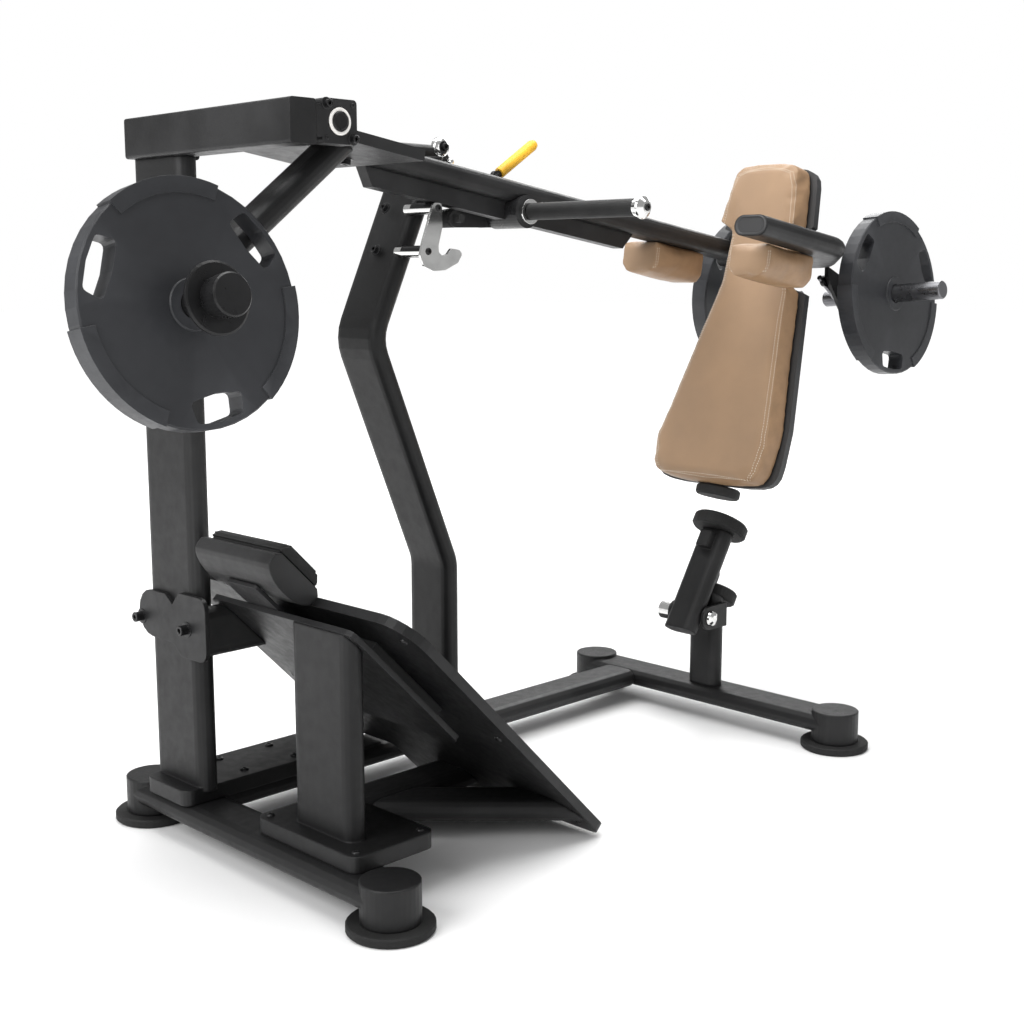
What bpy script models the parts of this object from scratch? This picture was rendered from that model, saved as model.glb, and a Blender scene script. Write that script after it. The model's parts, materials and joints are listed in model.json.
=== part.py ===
"""Plate-loaded pendulum squat machine: base frame, swinging arm with counterweight, flip-up stop.

Metres, +Z up, floor at Z = 0. The arm swings in the XZ plane: the user faces -X with the back
against the pad, so +X is the pad side and -Y is the side that the short shoulder tube is on.
"""

import math

import bmesh
import bpy
from mathutils import Matrix, Vector

GAP = 0.0003  # clearance left between touching pieces
CENTRE_X = 0.0138  # middle of the layout below, which is moved to X = 0
LATERAL = Vector((0.0, 1.0, 0.0))
UP = Vector((0.0, 0.0, 1.0))

# Base frame
REAR_X = -0.8695
FRONT_X = 0.6650
FOOT_Y = 0.4205
FOOT_PAD_RADIUS, FOOT_PAD_HEIGHT = 0.0875, 0.0195
FOOT_CAP_RADIUS, FOOT_CAP_TOP = 0.0605, 0.1020
BEAM_WIDTH, BEAM_HEIGHT, BEAM_Z = 0.120, 0.050, 0.068
BEAM_TOP = BEAM_Z + BEAM_HEIGHT / 2
BASE_PLATE_TOP = 0.1280
FAR_Y = 0.2790  # plane of the upright, the bent column and the long rail

# Upright, near post and column
UPRIGHT_WIDTH, UPRIGHT_DEPTH = 0.190, 0.050
UPRIGHT_X = -0.8650
UPRIGHT_TOP = 1.4745
POST_X, POST_Y = -0.8320, -0.1930
POST_CUT = -0.3055  # X + Z of the post's slanted top
COLUMN_WIDTH, COLUMN_DEPTH = 0.152, 0.048
COLUMN_PATH = ((-0.1225, 0.52), (-0.3560, 1.085), (-0.1474, 1.5415))
COLUMN_TOP = 1.5115

# Footplate, a slab at 45 degrees: X + Z of its two faces, and its width along Y
STEP_FRONT, STEP_BACK = -0.2050, -0.2350
STEP_NEAR, STEP_FAR = -0.3980, 0.3950
STEP_TOP, STEP_BOTTOM = 0.5900, 0.0200
CARRIER_FRONT, CARRIER_BACK = -0.2880, -0.3050
CARRIER_Y = (-0.3000, 0.1815)
CALF_LENGTH = 0.2600
CALF_CENTRE = Vector((-0.86635, 0.0, 0.63485))

# Hook plate on the column: spacer centres as (X, Z)
HOOK_Y, HOOK_THICKNESS = 0.1170, 0.0060
HOOK_SPACERS = {"upper": (-0.2463, 1.3860), "lower": (-0.2774, 1.2870)}
HOOK_SPACER_RADIUS, HOOK_SPACER_END = 0.0130, 0.2250

# Pivot
PIVOT_X, PIVOT_Z = -0.7920, 1.5200
SHAFT_RADIUS = 0.0190
BEARING_SIDE = 0.0830
BEARING_NEAR_Y, BEARING_FAR_Y = -0.2130, 0.3650
BEARING_LENGTH = 0.0400
TOP_BEAM_X = (-0.9070, -0.8470)
TOP_BEAM_Z = (1.4750, 1.5580)

# Swinging arm, in its rest pose
ARM_SLOPE = math.atan(0.1477)
ARM_AXIS = Vector((math.cos(ARM_SLOPE), 0.0, -math.sin(ARM_SLOPE)))
ARM_NORMAL = Vector((math.sin(ARM_SLOPE), 0.0, math.cos(ARM_SLOPE)))
ARM_Y = 0.1400
ARM_WIDTH, ARM_DEPTH = 0.100, 0.052
ARM_POINT = Vector((0.0, ARM_Y, 1.4323))  # a point on the main tube's centreline
ARM_START_X, ARM_END_X = -0.7600, 0.9090
RAIL_WIDTH, RAIL_DEPTH = 0.033, 0.042
YOKE_POINT = Vector((0.4521, -0.2620, 1.3548))
YOKE_BEND_X, YOKE_END_X = 0.7950, 0.9620
YOKE_BEND_Y, YOKE_END_Y = -0.1280, 0.1900
HANDLE_X, HANDLE_Z = 0.0150, 1.3845
COLLAR_RADIUS, COLLAR_BORE = 0.0395, 0.0235
COLLAR_Y = (0.0830, 0.1900)
HUB_RADIUS, HUB_Y = 0.0380, (-0.1700, 0.2900)
HUB_PLATE_X, HUB_PLATE_Y, HUB_PLATE_DEPTH = (-0.7850, -0.5350), (-0.1700, 0.1900), 0.0230

# Weights
PLATE_RADIUS, PLATE_THICKNESS, PLATE_BORE = 0.2250, 0.0450, 0.0262
RIM_INNER, RIM_OUTER, RIM_PROUD = 0.1990, 0.2285, 0.0030
HORN_RADIUS, HORN_REACH = 0.0250, 0.1480
HORN_TILT = math.radians(4.6)
HORN_X, HORN_FACE_Y, HORN_FACE_Z = 1.1370, 0.2690, 1.1800
HORN_INNER_Y = 0.0425
PLATE_REST = 0.0010  # gap between a loading plate and its horn's flange
COUNTER_CENTRE = Vector((-1.1100, -0.1870, 1.1840))
COUNTER_TILT = math.radians(9.0)

# Back pad and board: heights along the pad with the half-width there, below and above the waist
PAD_BOTTOM = Vector((0.6120, 0.0, 0.6820))
PAD_TOP = Vector((0.8860, 0.0, 1.5340))
PAD_THICKNESS, BOARD_THICKNESS = 0.0640, 0.0220
PAD_LOWER = ((-0.006, 0.070), (-0.002, 0.135), (0.008, 0.172), (0.035, 0.189), (0.110, 0.198),
             (0.170, 0.198), (0.325, 0.178), (0.545, 0.156))
PAD_UPPER = ((0.735, 0.134), (0.850, 0.119), (0.876, 0.113), (0.893, 0.101), (0.903, 0.080),
             (0.909, 0.045))
BOARD_LOWER = ((-0.004, 0.110), (0.000, 0.155), (0.007, 0.180), (0.018, 0.195), (0.035, 0.204),
               (0.065, 0.208), (0.163, 0.209), (0.545, 0.168))
BOARD_UPPER = ((0.735, 0.149), (0.850, 0.134), (0.874, 0.127), (0.890, 0.114), (0.900, 0.092),
               (0.906, 0.060))
FAR_TAPER_START = 0.150
PAD_WAIST, BOARD_WAIST = (0.130, 0.083), (0.110, 0.086)  # near and far half-widths at the waist
WAIST = (0.564, 0.708)

# Flip-up stop: its tube leans on the pin's -X side, and both buffers are square to it
STOP_X = 0.6550
STOP_LEAN = math.radians(32.3)
STOP_AXIS = Vector((math.sin(STOP_LEAN), 0.0, math.cos(STOP_LEAN)))
STOP_SIDE = Vector((math.cos(STOP_LEAN), 0.0, -math.sin(STOP_LEAN)))
STOP_PIN = Vector((0.5900, 0.0, 0.3000))
STOP_BELOW, STOP_ABOVE = 0.0580, 0.2430  # tube ends measured from the pin along STOP_AXIS
STOP_WIDTH, STOP_DEPTH = 0.100, 0.050
STOP_PIN_RADIUS, STOP_BARREL_RADIUS = 0.0080, 0.0180
STOP_EAR_Y, STOP_EAR_THICKNESS = 0.0575, 0.0080
LOWER_BUFFER_HEIGHT = 0.0360
LOWER_SEAT = Vector((0.6910, 0.0, 0.3255))  # middle of the lower buffer's underside


def clear_scene():
    for obj in list(bpy.data.objects):
        bpy.data.objects.remove(obj, do_unlink=True)


def make_material(name, color, roughness, metallic=0.0):
    material = bpy.data.materials.new(name)
    material.use_nodes = True
    shader = material.node_tree.nodes["Principled BSDF"]
    shader.inputs["Base Color"].default_value = (*color, 1.0)
    shader.inputs["Roughness"].default_value = roughness
    shader.inputs["Metallic"].default_value = metallic
    return material


def add_object(name, bm, material, smooth=True):
    bmesh.ops.translate(bm, verts=bm.verts, vec=(-CENTRE_X, 0, 0))
    bmesh.ops.recalc_face_normals(bm, faces=bm.faces)
    mesh = bpy.data.meshes.new(name)
    bm.to_mesh(mesh)
    bm.free()
    if material:
        mesh.materials.append(material)
    if smooth:
        mesh.shade_smooth()
        mesh.set_sharp_from_angle(angle=math.radians(35))
    obj = bpy.data.objects.new(name, mesh)
    bpy.context.scene.collection.objects.link(obj)
    return obj


def cut(obj, *cutters, operation="DIFFERENCE"):
    for cutter in cutters:
        cutter.hide_render = True
        cutter.display_type = "WIRE"
        modifier = obj.modifiers.new(cutter.name, "BOOLEAN")
        modifier.operation = operation
        modifier.solver = "EXACT"
        modifier.object = cutter
    return obj


def obround(across, thick, steps=6):
    """Flat-oval outline, `across` along the first axis, with `steps` facets on each round end."""
    radius = thick / 2
    reach = across / 2 - radius
    outline = []
    for side in (1, -1):
        for i in range(steps + 1):
            angle = side * math.pi / 2 * -1 + math.pi * i / steps
            outline.append((side * reach + radius * math.cos(angle), radius * math.sin(angle)))
    return outline


def circle(radius, segments=24):
    step = 2 * math.pi / segments
    return [(radius * math.cos(i * step), radius * math.sin(i * step)) for i in range(segments)]


def rounded_box(width, height, radius, steps=3):
    """Rectangle outline with rounded corners, centred on the origin."""
    outline = []
    for quarter, (sx, sy) in enumerate(((1, 1), (-1, 1), (-1, -1), (1, -1))):
        cx, cy = sx * (width / 2 - radius), sy * (height / 2 - radius)
        for i in range(steps + 1):
            angle = math.pi / 2 * (quarter + i / steps)
            outline.append((cx + radius * math.cos(angle), cy + radius * math.sin(angle)))
    return outline


def rounded_polygon(corners, radii, steps=4):
    """Outline through `corners` with each corner rounded by its own radius (0 keeps it sharp)."""
    outline = []
    count = len(corners)
    for i, corner in enumerate(corners):
        here = Vector(corner)
        radius = radii[i] if hasattr(radii, "__len__") else radii
        if radius <= 0:
            outline.append(tuple(here))
            continue
        before = (Vector(corners[i - 1]) - here).normalized()
        after = (Vector(corners[(i + 1) % count]) - here).normalized()
        half = before.angle(after) / 2
        centre = here + (before + after).normalized() * radius / math.sin(half)
        first = here + before * radius / math.tan(half) - centre
        last = here + after * radius / math.tan(half) - centre
        turn = first.angle_signed(last)
        for k in range(steps + 1):
            angle = -turn * k / steps
            rotated = Vector((first.x * math.cos(angle) - first.y * math.sin(angle),
                              first.x * math.sin(angle) + first.y * math.cos(angle)))
            outline.append(tuple(centre + rotated))
    return outline


def loft(rings):
    """Closed mesh through rings of equal length, capped at both ends."""
    bm = bmesh.new()
    verts = [[bm.verts.new(p) for p in ring] for ring in rings]
    for low, high in zip(verts, verts[1:]):
        for i in range(len(low)):
            j = (i + 1) % len(low)
            bm.faces.new((low[i], low[j], high[j], high[i]))
    bm.faces.new(verts[0][::-1])
    bm.faces.new(verts[-1])
    return bm


def prism(name, outline, origin, x_axis, y_axis, depth, material, smooth=True):
    """Outline in the plane of x_axis and y_axis at origin, extruded by depth along x_axis x y_axis."""
    origin, x_axis, y_axis = Vector(origin), Vector(x_axis).normalized(), Vector(y_axis).normalized()
    normal = x_axis.cross(y_axis)
    base = [origin + x_axis * u + y_axis * v for u, v in outline]
    rings = [base, [p + normal * depth for p in base]]
    return add_object(name, loft(rings), material, smooth)


def turned(name, profile, origin, axis, material, segments=32, bored=False):
    """Solid turned from (radius, height) pairs around axis. A bored profile closes on itself."""
    turn = UP.rotation_difference(Vector(axis).normalized()).to_matrix()
    origin = Vector(origin)
    bm = bmesh.new()
    rings = []
    for radius, height in profile:
        if radius < 1e-6:
            rings.append([bm.verts.new(origin + turn @ Vector((0, 0, height)))])
        else:
            rings.append([bm.verts.new(origin + turn @ Vector((u, v, height)))
                          for u, v in circle(radius, segments)])
    pairs = list(zip(rings, rings[1:]))
    if bored:
        pairs.append((rings[-1], rings[0]))
    for low, high in pairs:
        for i in range(segments):
            j = (i + 1) % segments
            face = [low[i % len(low)], low[j % len(low)], high[j % len(high)], high[i % len(high)]]
            face = list(dict.fromkeys(face))
            if len(face) > 2:
                bm.faces.new(face)
    return add_object(name, bm, material)


def rod(name, radius, start, end, material, segments=24, chamfer=0.0):
    """Round bar between two points, with chamfered ends."""
    start, end = Vector(start), Vector(end)
    length = (end - start).length
    if chamfer:
        profile = ((0, 0), (radius - chamfer, 0), (radius, chamfer), (radius, length - chamfer),
                   (radius - chamfer, length), (0, length))
    else:
        profile = ((0, 0), (radius, 0), (radius, length), (0, length))
    return turned(name, profile, start, end - start, material, segments)


def filleted(points, radius, steps=4):
    """Path through points with each inner corner replaced by an arc."""
    points = [Vector(p) for p in points]
    path = [points[0]]
    for before, here, after in zip(points, points[1:], points[2:]):
        to_before, to_after = (before - here).normalized(), (after - here).normalized()
        half = to_before.angle(to_after) / 2
        reach = radius / math.tan(half)
        centre = here + (to_before + to_after).normalized() * radius / math.sin(half)
        first, last = here + to_before * reach - centre, here + to_after * reach - centre
        axis = first.cross(last)
        turn = first.angle(last)
        for k in range(steps + 1):
            path.append(centre + Matrix.Rotation(turn * k / steps, 3, axis) @ first)
    path.append(points[-1])
    return path


def sweep(name, section, path, constant, material):
    """Section swept along a flat path. Its first axis lies along `constant`, normal to the path's
    plane, and its second axis in that plane, mitred at each point."""
    path = [Vector(p) for p in path]
    constant = Vector(constant).normalized()
    tangents = [(b - a).normalized() for a, b in zip(path, path[1:])]
    rings = []
    for i, point in enumerate(path):
        before, after = tangents[max(i - 1, 0)], tangents[min(i, len(tangents) - 1)]
        along = (before + after).normalized()
        side = along.cross(constant).normalized() / along.dot(before)
        rings.append([point + constant * u + side * v for u, v in section])
    return add_object(name, loft(rings), material)


def swap(outline):
    return [(v, u) for u, v in outline]


def arm_at(x, y=ARM_Y, lift=0.0):
    """Point on the main tube's centreline at x, moved to y and lifted along the arm's normal."""
    point = ARM_POINT + ARM_AXIS * (x - ARM_POINT.x) / ARM_AXIS.x
    return Vector((point.x, y, point.z)) + ARM_NORMAL * lift


def build_feet(mats):
    """Rubber discs under both crossbeams, whose round end caps are part of the beams."""
    for label, x in (("rear", REAR_X), ("front", FRONT_X)):
        ends = ((x, -FOOT_Y, BEAM_Z), (x, FOOT_Y, BEAM_Z))
        beam = sweep(f"{label}_crossbeam", swap(obround(BEAM_WIDTH, BEAM_HEIGHT)), ends, UP,
                     mats["frame"])
        for side, sign in (("near", -1), ("far", 1)):
            centre = (x, sign * FOOT_Y, 0.0)
            turned(f"foot_pad_{label}_{side}",
                   ((0, 0), (FOOT_PAD_RADIUS - 0.004, 0), (FOOT_PAD_RADIUS, 0.004),
                    (FOOT_PAD_RADIUS, FOOT_PAD_HEIGHT - 0.003),
                    (FOOT_PAD_RADIUS - 0.003, FOOT_PAD_HEIGHT), (0, FOOT_PAD_HEIGHT)),
                   centre, UP, mats["rubber"])
            cap = turned(f"join_cap_{label}_{side}",
                         ((0, FOOT_PAD_HEIGHT + GAP), (FOOT_CAP_RADIUS, FOOT_PAD_HEIGHT + GAP),
                          (FOOT_CAP_RADIUS, FOOT_CAP_TOP - 0.002),
                          (FOOT_CAP_RADIUS - 0.002, FOOT_CAP_TOP), (0, FOOT_CAP_TOP)),
                         centre, UP, mats["frame"])
            # The beam starts inside the cap, clear of its far wall.
            cut(beam, cap, operation="UNION")


def build_base(mats):
    sweep("long_rail", swap(obround(BEAM_WIDTH, BEAM_HEIGHT)),
          ((REAR_X + BEAM_WIDTH / 2 + GAP, FAR_Y, BEAM_Z),
           (FRONT_X - BEAM_WIDTH / 2 - GAP, FAR_Y, BEAM_Z)), UP, mats["frame"])
    seat = BEAM_TOP + GAP
    height = BASE_PLATE_TOP - seat
    bottom = BASE_PLATE_TOP - 0.010
    upright = sweep("rear_upright", obround(UPRIGHT_WIDTH, UPRIGHT_DEPTH, 8),
                    ((UPRIGHT_X, FAR_Y, bottom), (UPRIGHT_X, FAR_Y, UPRIGHT_TOP)), LATERAL, mats["frame"])
    post = sweep("near_post", obround(UPRIGHT_WIDTH, UPRIGHT_DEPTH, 8),
                 ((POST_X, POST_Y, bottom), (POST_X, POST_Y, 0.60)), LATERAL, mats["frame"])
    cut(post, slope_cutter("cut_post_top", POST_CUT))
    for obj, (x0, x1), (y0, y1) in ((upright, (-0.927, -0.440), (0.192, 0.357)),
                                    (post, (-0.897, -0.687), (-0.348, -0.023))):
        plate = prism(f"join_{obj.name}", rounded_polygon(((x0, y0), (x1, y0), (x1, y1), (x0, y1)), 0.022),
                      (0, 0, seat), (1, 0, 0), (0, 1, 0), height, None)
        cut(obj, plate, operation="UNION")
    corners = [(COLUMN_PATH[0][0], FAR_Y, seat)] + [(x, FAR_Y, z) for x, z in COLUMN_PATH]
    column = sweep("bent_column", obround(COLUMN_WIDTH, COLUMN_DEPTH, 8), filleted(corners, 0.10),
                   LATERAL, mats["frame"])
    outline = ((-0.4, 0), (0.2, 0), (0.2, 0.5), (-0.4, 0.5))
    cut(column, prism("cut_column_top", outline, (0, 0, COLUMN_TOP), (1, 0, 0), LATERAL, 0.1, None, False))
    for label, (x, z) in HOOK_SPACERS.items():
        cut(column, rod(f"cut_spacer_{label}", HOOK_SPACER_RADIUS + GAP, (x, 0.15, z),
                        (x, HOOK_SPACER_END + GAP, z), None, 20))


def slope_cutter(name, face):
    """Block above the plane X + Z = face, to trim what would pass through it."""
    outline = ((-0.7, -1.4), (0.7, -1.4), (0.7, 1.4), (-0.7, 1.4))
    return prism(name, outline, (face / 2, 0, face / 2), LATERAL, (-1, 0, 1), 0.60, None, False)


def build_top(mats):
    """Top beam with the two bearing housings of the arm's pivot, and the link to the column."""
    low_y, high_y = BEARING_NEAR_Y, BEARING_FAR_Y
    outline = rounded_box(TOP_BEAM_X[1] - TOP_BEAM_X[0], TOP_BEAM_Z[1] - TOP_BEAM_Z[0], 0.006)
    prism("top_beam", outline, (sum(TOP_BEAM_X) / 2, high_y, sum(TOP_BEAM_Z) / 2), (1, 0, 0), UP,
          high_y - low_y, mats["frame"])
    side = BEARING_SIDE
    back = PIVOT_X - side / 2 - (TOP_BEAM_X[1] + GAP)
    outline = rounded_polygon(((-side / 2 - back, -0.030), (-side / 2, -0.030),
                               (-side / 2, -side / 2), (side / 2, -side / 2), (side / 2, side / 2),
                               (-side / 2, side / 2), (-side / 2, 0.030), (-side / 2 - back, 0.030)),
                              (0, 0, 0.008, 0.008, 0.008, 0.008, 0, 0))
    for label, y in (("near", low_y + BEARING_LENGTH), ("far", high_y)):
        housing = prism(f"bearing_{label}", outline, (PIVOT_X, y, PIVOT_Z), (1, 0, 0), UP,
                        BEARING_LENGTH, mats["frame"])
        cut(housing, rod(f"cut_bearing_{label}", SHAFT_RADIUS + GAP, (PIVOT_X, y + 0.01, PIVOT_Z),
                         (PIVOT_X, y - BEARING_LENGTH - 0.01, PIVOT_Z), None))
    sweep("link_tube", obround(0.060, 0.036), ((PIVOT_X + side / 2 + GAP, 0.3100, 1.5300),
                                               (-0.1000, 0.3100, 1.5300)), LATERAL, mats["frame"])


def build_hook(mats):
    """Bright hook plate that stands off the column on two spacers."""
    outline = rounded_polygon(
        ((-0.2330, 1.3985), (-0.2590, 1.3985), (-0.2940, 1.3090), (-0.3030, 1.2776), (-0.2900, 1.2530),
         (-0.2620, 1.2425), (-0.2250, 1.2440), (-0.1830, 1.2620), (-0.1690, 1.2830), (-0.1800, 1.2920),
         (-0.2060, 1.2950), (-0.2180, 1.2820), (-0.2330, 1.2770), (-0.2440, 1.2860), (-0.2450, 1.3010),
         (-0.2320, 1.3440)),
        (0.008, 0.008, 0.02, 0.012, 0.012, 0.012, 0.02, 0.012, 0.006, 0.008, 0.005, 0.005, 0.006, 0.005,
         0.006, 0.02), 2)
    plate = prism("hook_plate", outline, (0, HOOK_Y + HOOK_THICKNESS, 0), (1, 0, 0), UP, HOOK_THICKNESS,
                  mats["chrome"], False)
    for label, (x, z) in HOOK_SPACERS.items():
        spacer = rod(f"join_spacer_{label}", HOOK_SPACER_RADIUS, (x, HOOK_Y + HOOK_THICKNESS / 2, z),
                     (x, HOOK_SPACER_END, z), None, 20)
        cut(plate, spacer, operation="UNION")


def build_footplate(mats):
    """Footplate at 45 degrees on its carrier and bracket, and the two tubes that meet its foot."""
    down, outward = Vector((1, 0, -1)).normalized(), Vector((1, 0, 1)).normalized()
    thickness = (STEP_FRONT - STEP_BACK) / math.sqrt(2)
    top = Vector((STEP_FRONT - STEP_TOP, 0, STEP_TOP)) - outward * thickness
    length = (STEP_TOP - STEP_BOTTOM) * math.sqrt(2)
    # On the far side the plate stops above the long rail.
    rail_near = FAR_Y - BEAM_WIDTH / 2 - 0.014
    rail_top = (STEP_TOP - BEAM_TOP - 0.004) * math.sqrt(2) - thickness
    outline = rounded_polygon(((0, STEP_NEAR), (length, STEP_NEAR), (length, rail_near),
                               (rail_top, rail_near), (rail_top, STEP_FAR), (0, STEP_FAR)),
                              (0.080, 0.025, 0.012, 0.010, 0.025, 0.080), 6)
    prism("footplate", outline, top, down, LATERAL, thickness, mats["frame"])
    depth = (CARRIER_FRONT - CARRIER_BACK) / math.sqrt(2)
    low_y, high_y = CARRIER_Y
    outline = rounded_polygon(((0, low_y), (0.397, low_y), (0.397, high_y), (0, high_y)), 0.020)
    head = Vector((-0.8575, 0, 0.5525))
    carrier = prism("step_carrier", outline, head, down, LATERAL, depth, mats["frame"])
    room = (STEP_BACK - CARRIER_FRONT) / math.sqrt(2) - GAP
    spacer = ((0.110, low_y + 0.06), (0.360, low_y + 0.06), (0.360, high_y - 0.06), (0.110, high_y - 0.06))
    cut(carrier, prism("join_spacer", spacer, head + outward * depth / 2, down, LATERAL,
                       room + depth / 2, None, False), operation="UNION")
    bracket = sweep("footplate_bracket", obround(0.110, 0.0445, 6),
                    ((UPRIGHT_X - UPRIGHT_DEPTH / 2, 0.15925, 0.485), (-0.600, 0.15925, 0.485)), UP,
                    mats["frame"])
    cut(bracket, slope_cutter("cut_bracket", CARRIER_BACK - 2 * GAP))
    start = REAR_X + BEAM_WIDTH / 2 + GAP
    stringer = sweep("footplate_stringer", swap(obround(BEAM_WIDTH, BEAM_HEIGHT)),
                     ((start, 0, BEAM_Z), (-0.200, 0, BEAM_Z)), UP, mats["frame"])
    strut = sweep("footplate_strut", swap(obround(BEAM_WIDTH, BEAM_HEIGHT)),
                  ((-0.6010, 0, BEAM_Z), (-0.1010, -0.5000, BEAM_Z)), UP, mats["frame"])
    for name, piece in (("stringer", stringer), ("strut", strut)):
        cut(piece, slope_cutter(f"cut_{name}", STEP_BACK - 2 * GAP))
    side = ((-0.9, -BEAM_WIDTH / 2 - GAP), (0, -BEAM_WIDTH / 2 - GAP), (0, 0.2), (-0.9, 0.2))
    cut(strut, prism("cut_strut_root", side, (0, 0, 0), (1, 0, 0), LATERAL, 0.2, None, False))
    clamp = rounded_polygon(((0.135, 0.420), (0.235, 0.420), (0.262, 0.445), (0.397, 0.445),
                             (0.397, 0.550), (0.290, 0.550), (0.262, 0.530), (0.235, 0.560),
                             (0.135, 0.560)), (0.025, 0.010, 0, 0.050, 0.050, 0.01, 0, 0.01, 0.025))
    prism("clamp_plate", clamp, (UPRIGHT_X - UPRIGHT_DEPTH / 2 - GAP - 0.010, 0, 0), LATERAL, UP, 0.010,
          mats["frame"])


def build_calf_pad(mats):
    """Padded bar above the footplate, on a tongue that lies on the carrier."""
    along, normal = Vector((1, 0, -1)).normalized(), Vector((1, 0, 1)).normalized()
    far_y = CALF_LENGTH / 2
    half, back, front = 0.0715, 0.0300, 0.0260
    shell = [(half * math.cos(math.pi + math.pi * i / 12), back * math.sin(math.pi + math.pi * i / 12))
             for i in range(13)]
    shell += [(half, front - 0.010), (half - 0.012, front), (0.012 - half, front), (-half, front - 0.010)]
    prism("calf_pad_shell", shell, CALF_CENTRE + LATERAL * far_y, along, normal, CALF_LENGTH,
          mats["frame"])
    face = front + GAP
    pad = ((-0.062, face), (0.062, face), (0.066, face + 0.010), (0.048, face + 0.030),
           (-0.048, face + 0.030), (-0.066, face + 0.010))
    prism("calf_pad_top", pad, CALF_CENTRE + LATERAL * (far_y - 0.010), along, normal,
          CALF_LENGTH - 0.020, mats["rubber"], False)
    # The tongue fills the gap between the carrier's face and the back of the shell.
    depth = 0.0080
    middle = CALF_CENTRE + normal * (CARRIER_FRONT / math.sqrt(2) + GAP - CALF_CENTRE.dot(normal))
    tongue = rounded_polygon(((-0.012, -0.055), (0.112, -0.055), (0.112, 0.055), (-0.012, 0.055)), 0.012)
    prism("calf_pad_tongue", tongue, middle, along, LATERAL, depth, mats["frame"])


def build_stop(mats):
    """Front post with its lower buffer, the ears and pin, and the tube that tips over on the pin."""
    post = sweep("stop_post", obround(0.100, 0.050, 8),
                 ((STOP_X, 0, BEAM_TOP + GAP), (STOP_X, 0, 0.460)), LATERAL, mats["frame"])
    seat = LOWER_SEAT - STOP_AXIS * GAP
    outline = ((-0.4, -0.2), (0.4, -0.2), (0.4, 0.2), (-0.4, 0.2))
    cut(post, prism("cut_post_seat", outline, seat, STOP_SIDE, LATERAL, 0.3, None, False))
    top = LOWER_BUFFER_HEIGHT
    buffer = ((0, 0), (0.050, 0), (0.055, 0.005), (0.055, top - 0.005), (0.050, top), (0, top))
    turned("lower_buffer", buffer, LOWER_SEAT, STOP_AXIS, mats["rubber"])
    for label, side in (("near", -1), ("far", 1)):
        y = side * STOP_EAR_Y
        outline = rounded_polygon(((0.075, -0.033), (-0.033, -0.033), (-0.033, 0.033), (0.075, 0.033)),
                                  (0, 0.030, 0.030, 0), 5)
        ear = prism(f"stop_ear_{label}", outline, STOP_PIN + LATERAL * (y + STOP_EAR_THICKNESS / 2),
                    (1, 0, 0), UP, STOP_EAR_THICKNESS, mats["frame"])
        cut(ear, rod(f"cut_ear_{label}", STOP_PIN_RADIUS + GAP, STOP_PIN + LATERAL * (y - 0.02),
                     STOP_PIN + LATERAL * (y + 0.02), None, 20))
    face = STOP_EAR_Y + STOP_EAR_THICKNESS / 2 + GAP
    turned("stop_pin", ((0, -face - 0.016), (0.010, -face - 0.015), (0.019, -face - 0.010),
                        (0.021, -face - 0.004), (0.021, -face), (STOP_PIN_RADIUS, -face),
                        (STOP_PIN_RADIUS, face), (0.024, face), (0.026, face + 0.004),
                        (0.026, face + 0.040), (0.020, face + 0.046), (0, face + 0.048)),
           STOP_PIN, LATERAL, mats["chrome"], 24)
    foot = STOP_PIN - STOP_SIDE * (STOP_DEPTH / 2 + 0.002) - STOP_AXIS * STOP_BELOW
    head = foot + STOP_AXIS * (STOP_BELOW + STOP_ABOVE)
    tube = sweep("stop_tube", obround(STOP_WIDTH, STOP_DEPTH, 8), (foot, head), LATERAL, mats["frame"])
    cut(tube, rod("join_barrel", STOP_BARREL_RADIUS, STOP_PIN - LATERAL * 0.044,
                  STOP_PIN + LATERAL * 0.044, None, 24), operation="UNION")
    # The fin rests on the lower buffer and carries the load of the arm.
    face = STOP_DEPTH / 2 - 0.004
    reach = (LOWER_SEAT + STOP_AXIS * (LOWER_BUFFER_HEIGHT + GAP) - foot).dot(STOP_AXIS)
    fin = ((face, reach), (0.072, reach), (0.072, reach + 0.030), (face, reach + 0.095))
    cut(tube, prism("join_fin", fin, foot + LATERAL * 0.006, STOP_SIDE, STOP_AXIS, 0.012, None, False),
        operation="UNION")
    block = ((-STOP_DEPTH / 2 - 0.026, 0.238), (0, 0.238), (0, 0.284), (-STOP_DEPTH / 2 - 0.026, 0.284))
    cut(tube, prism("join_block", block, foot + LATERAL * 0.018, STOP_SIDE, STOP_AXIS, 0.036, None, False),
        operation="UNION")
    cut(tube, rod("cut_barrel", STOP_PIN_RADIUS + GAP, STOP_PIN - LATERAL * 0.06,
                  STOP_PIN + LATERAL * 0.06, None, 20))
    turned("stop_disc", ((0, 0), (0.072, 0), (0.078, 0.006), (0.078, 0.030), (0.072, 0.036), (0, 0.036)),
           head + STOP_AXIS * GAP, STOP_AXIS, mats["rubber"])


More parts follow.
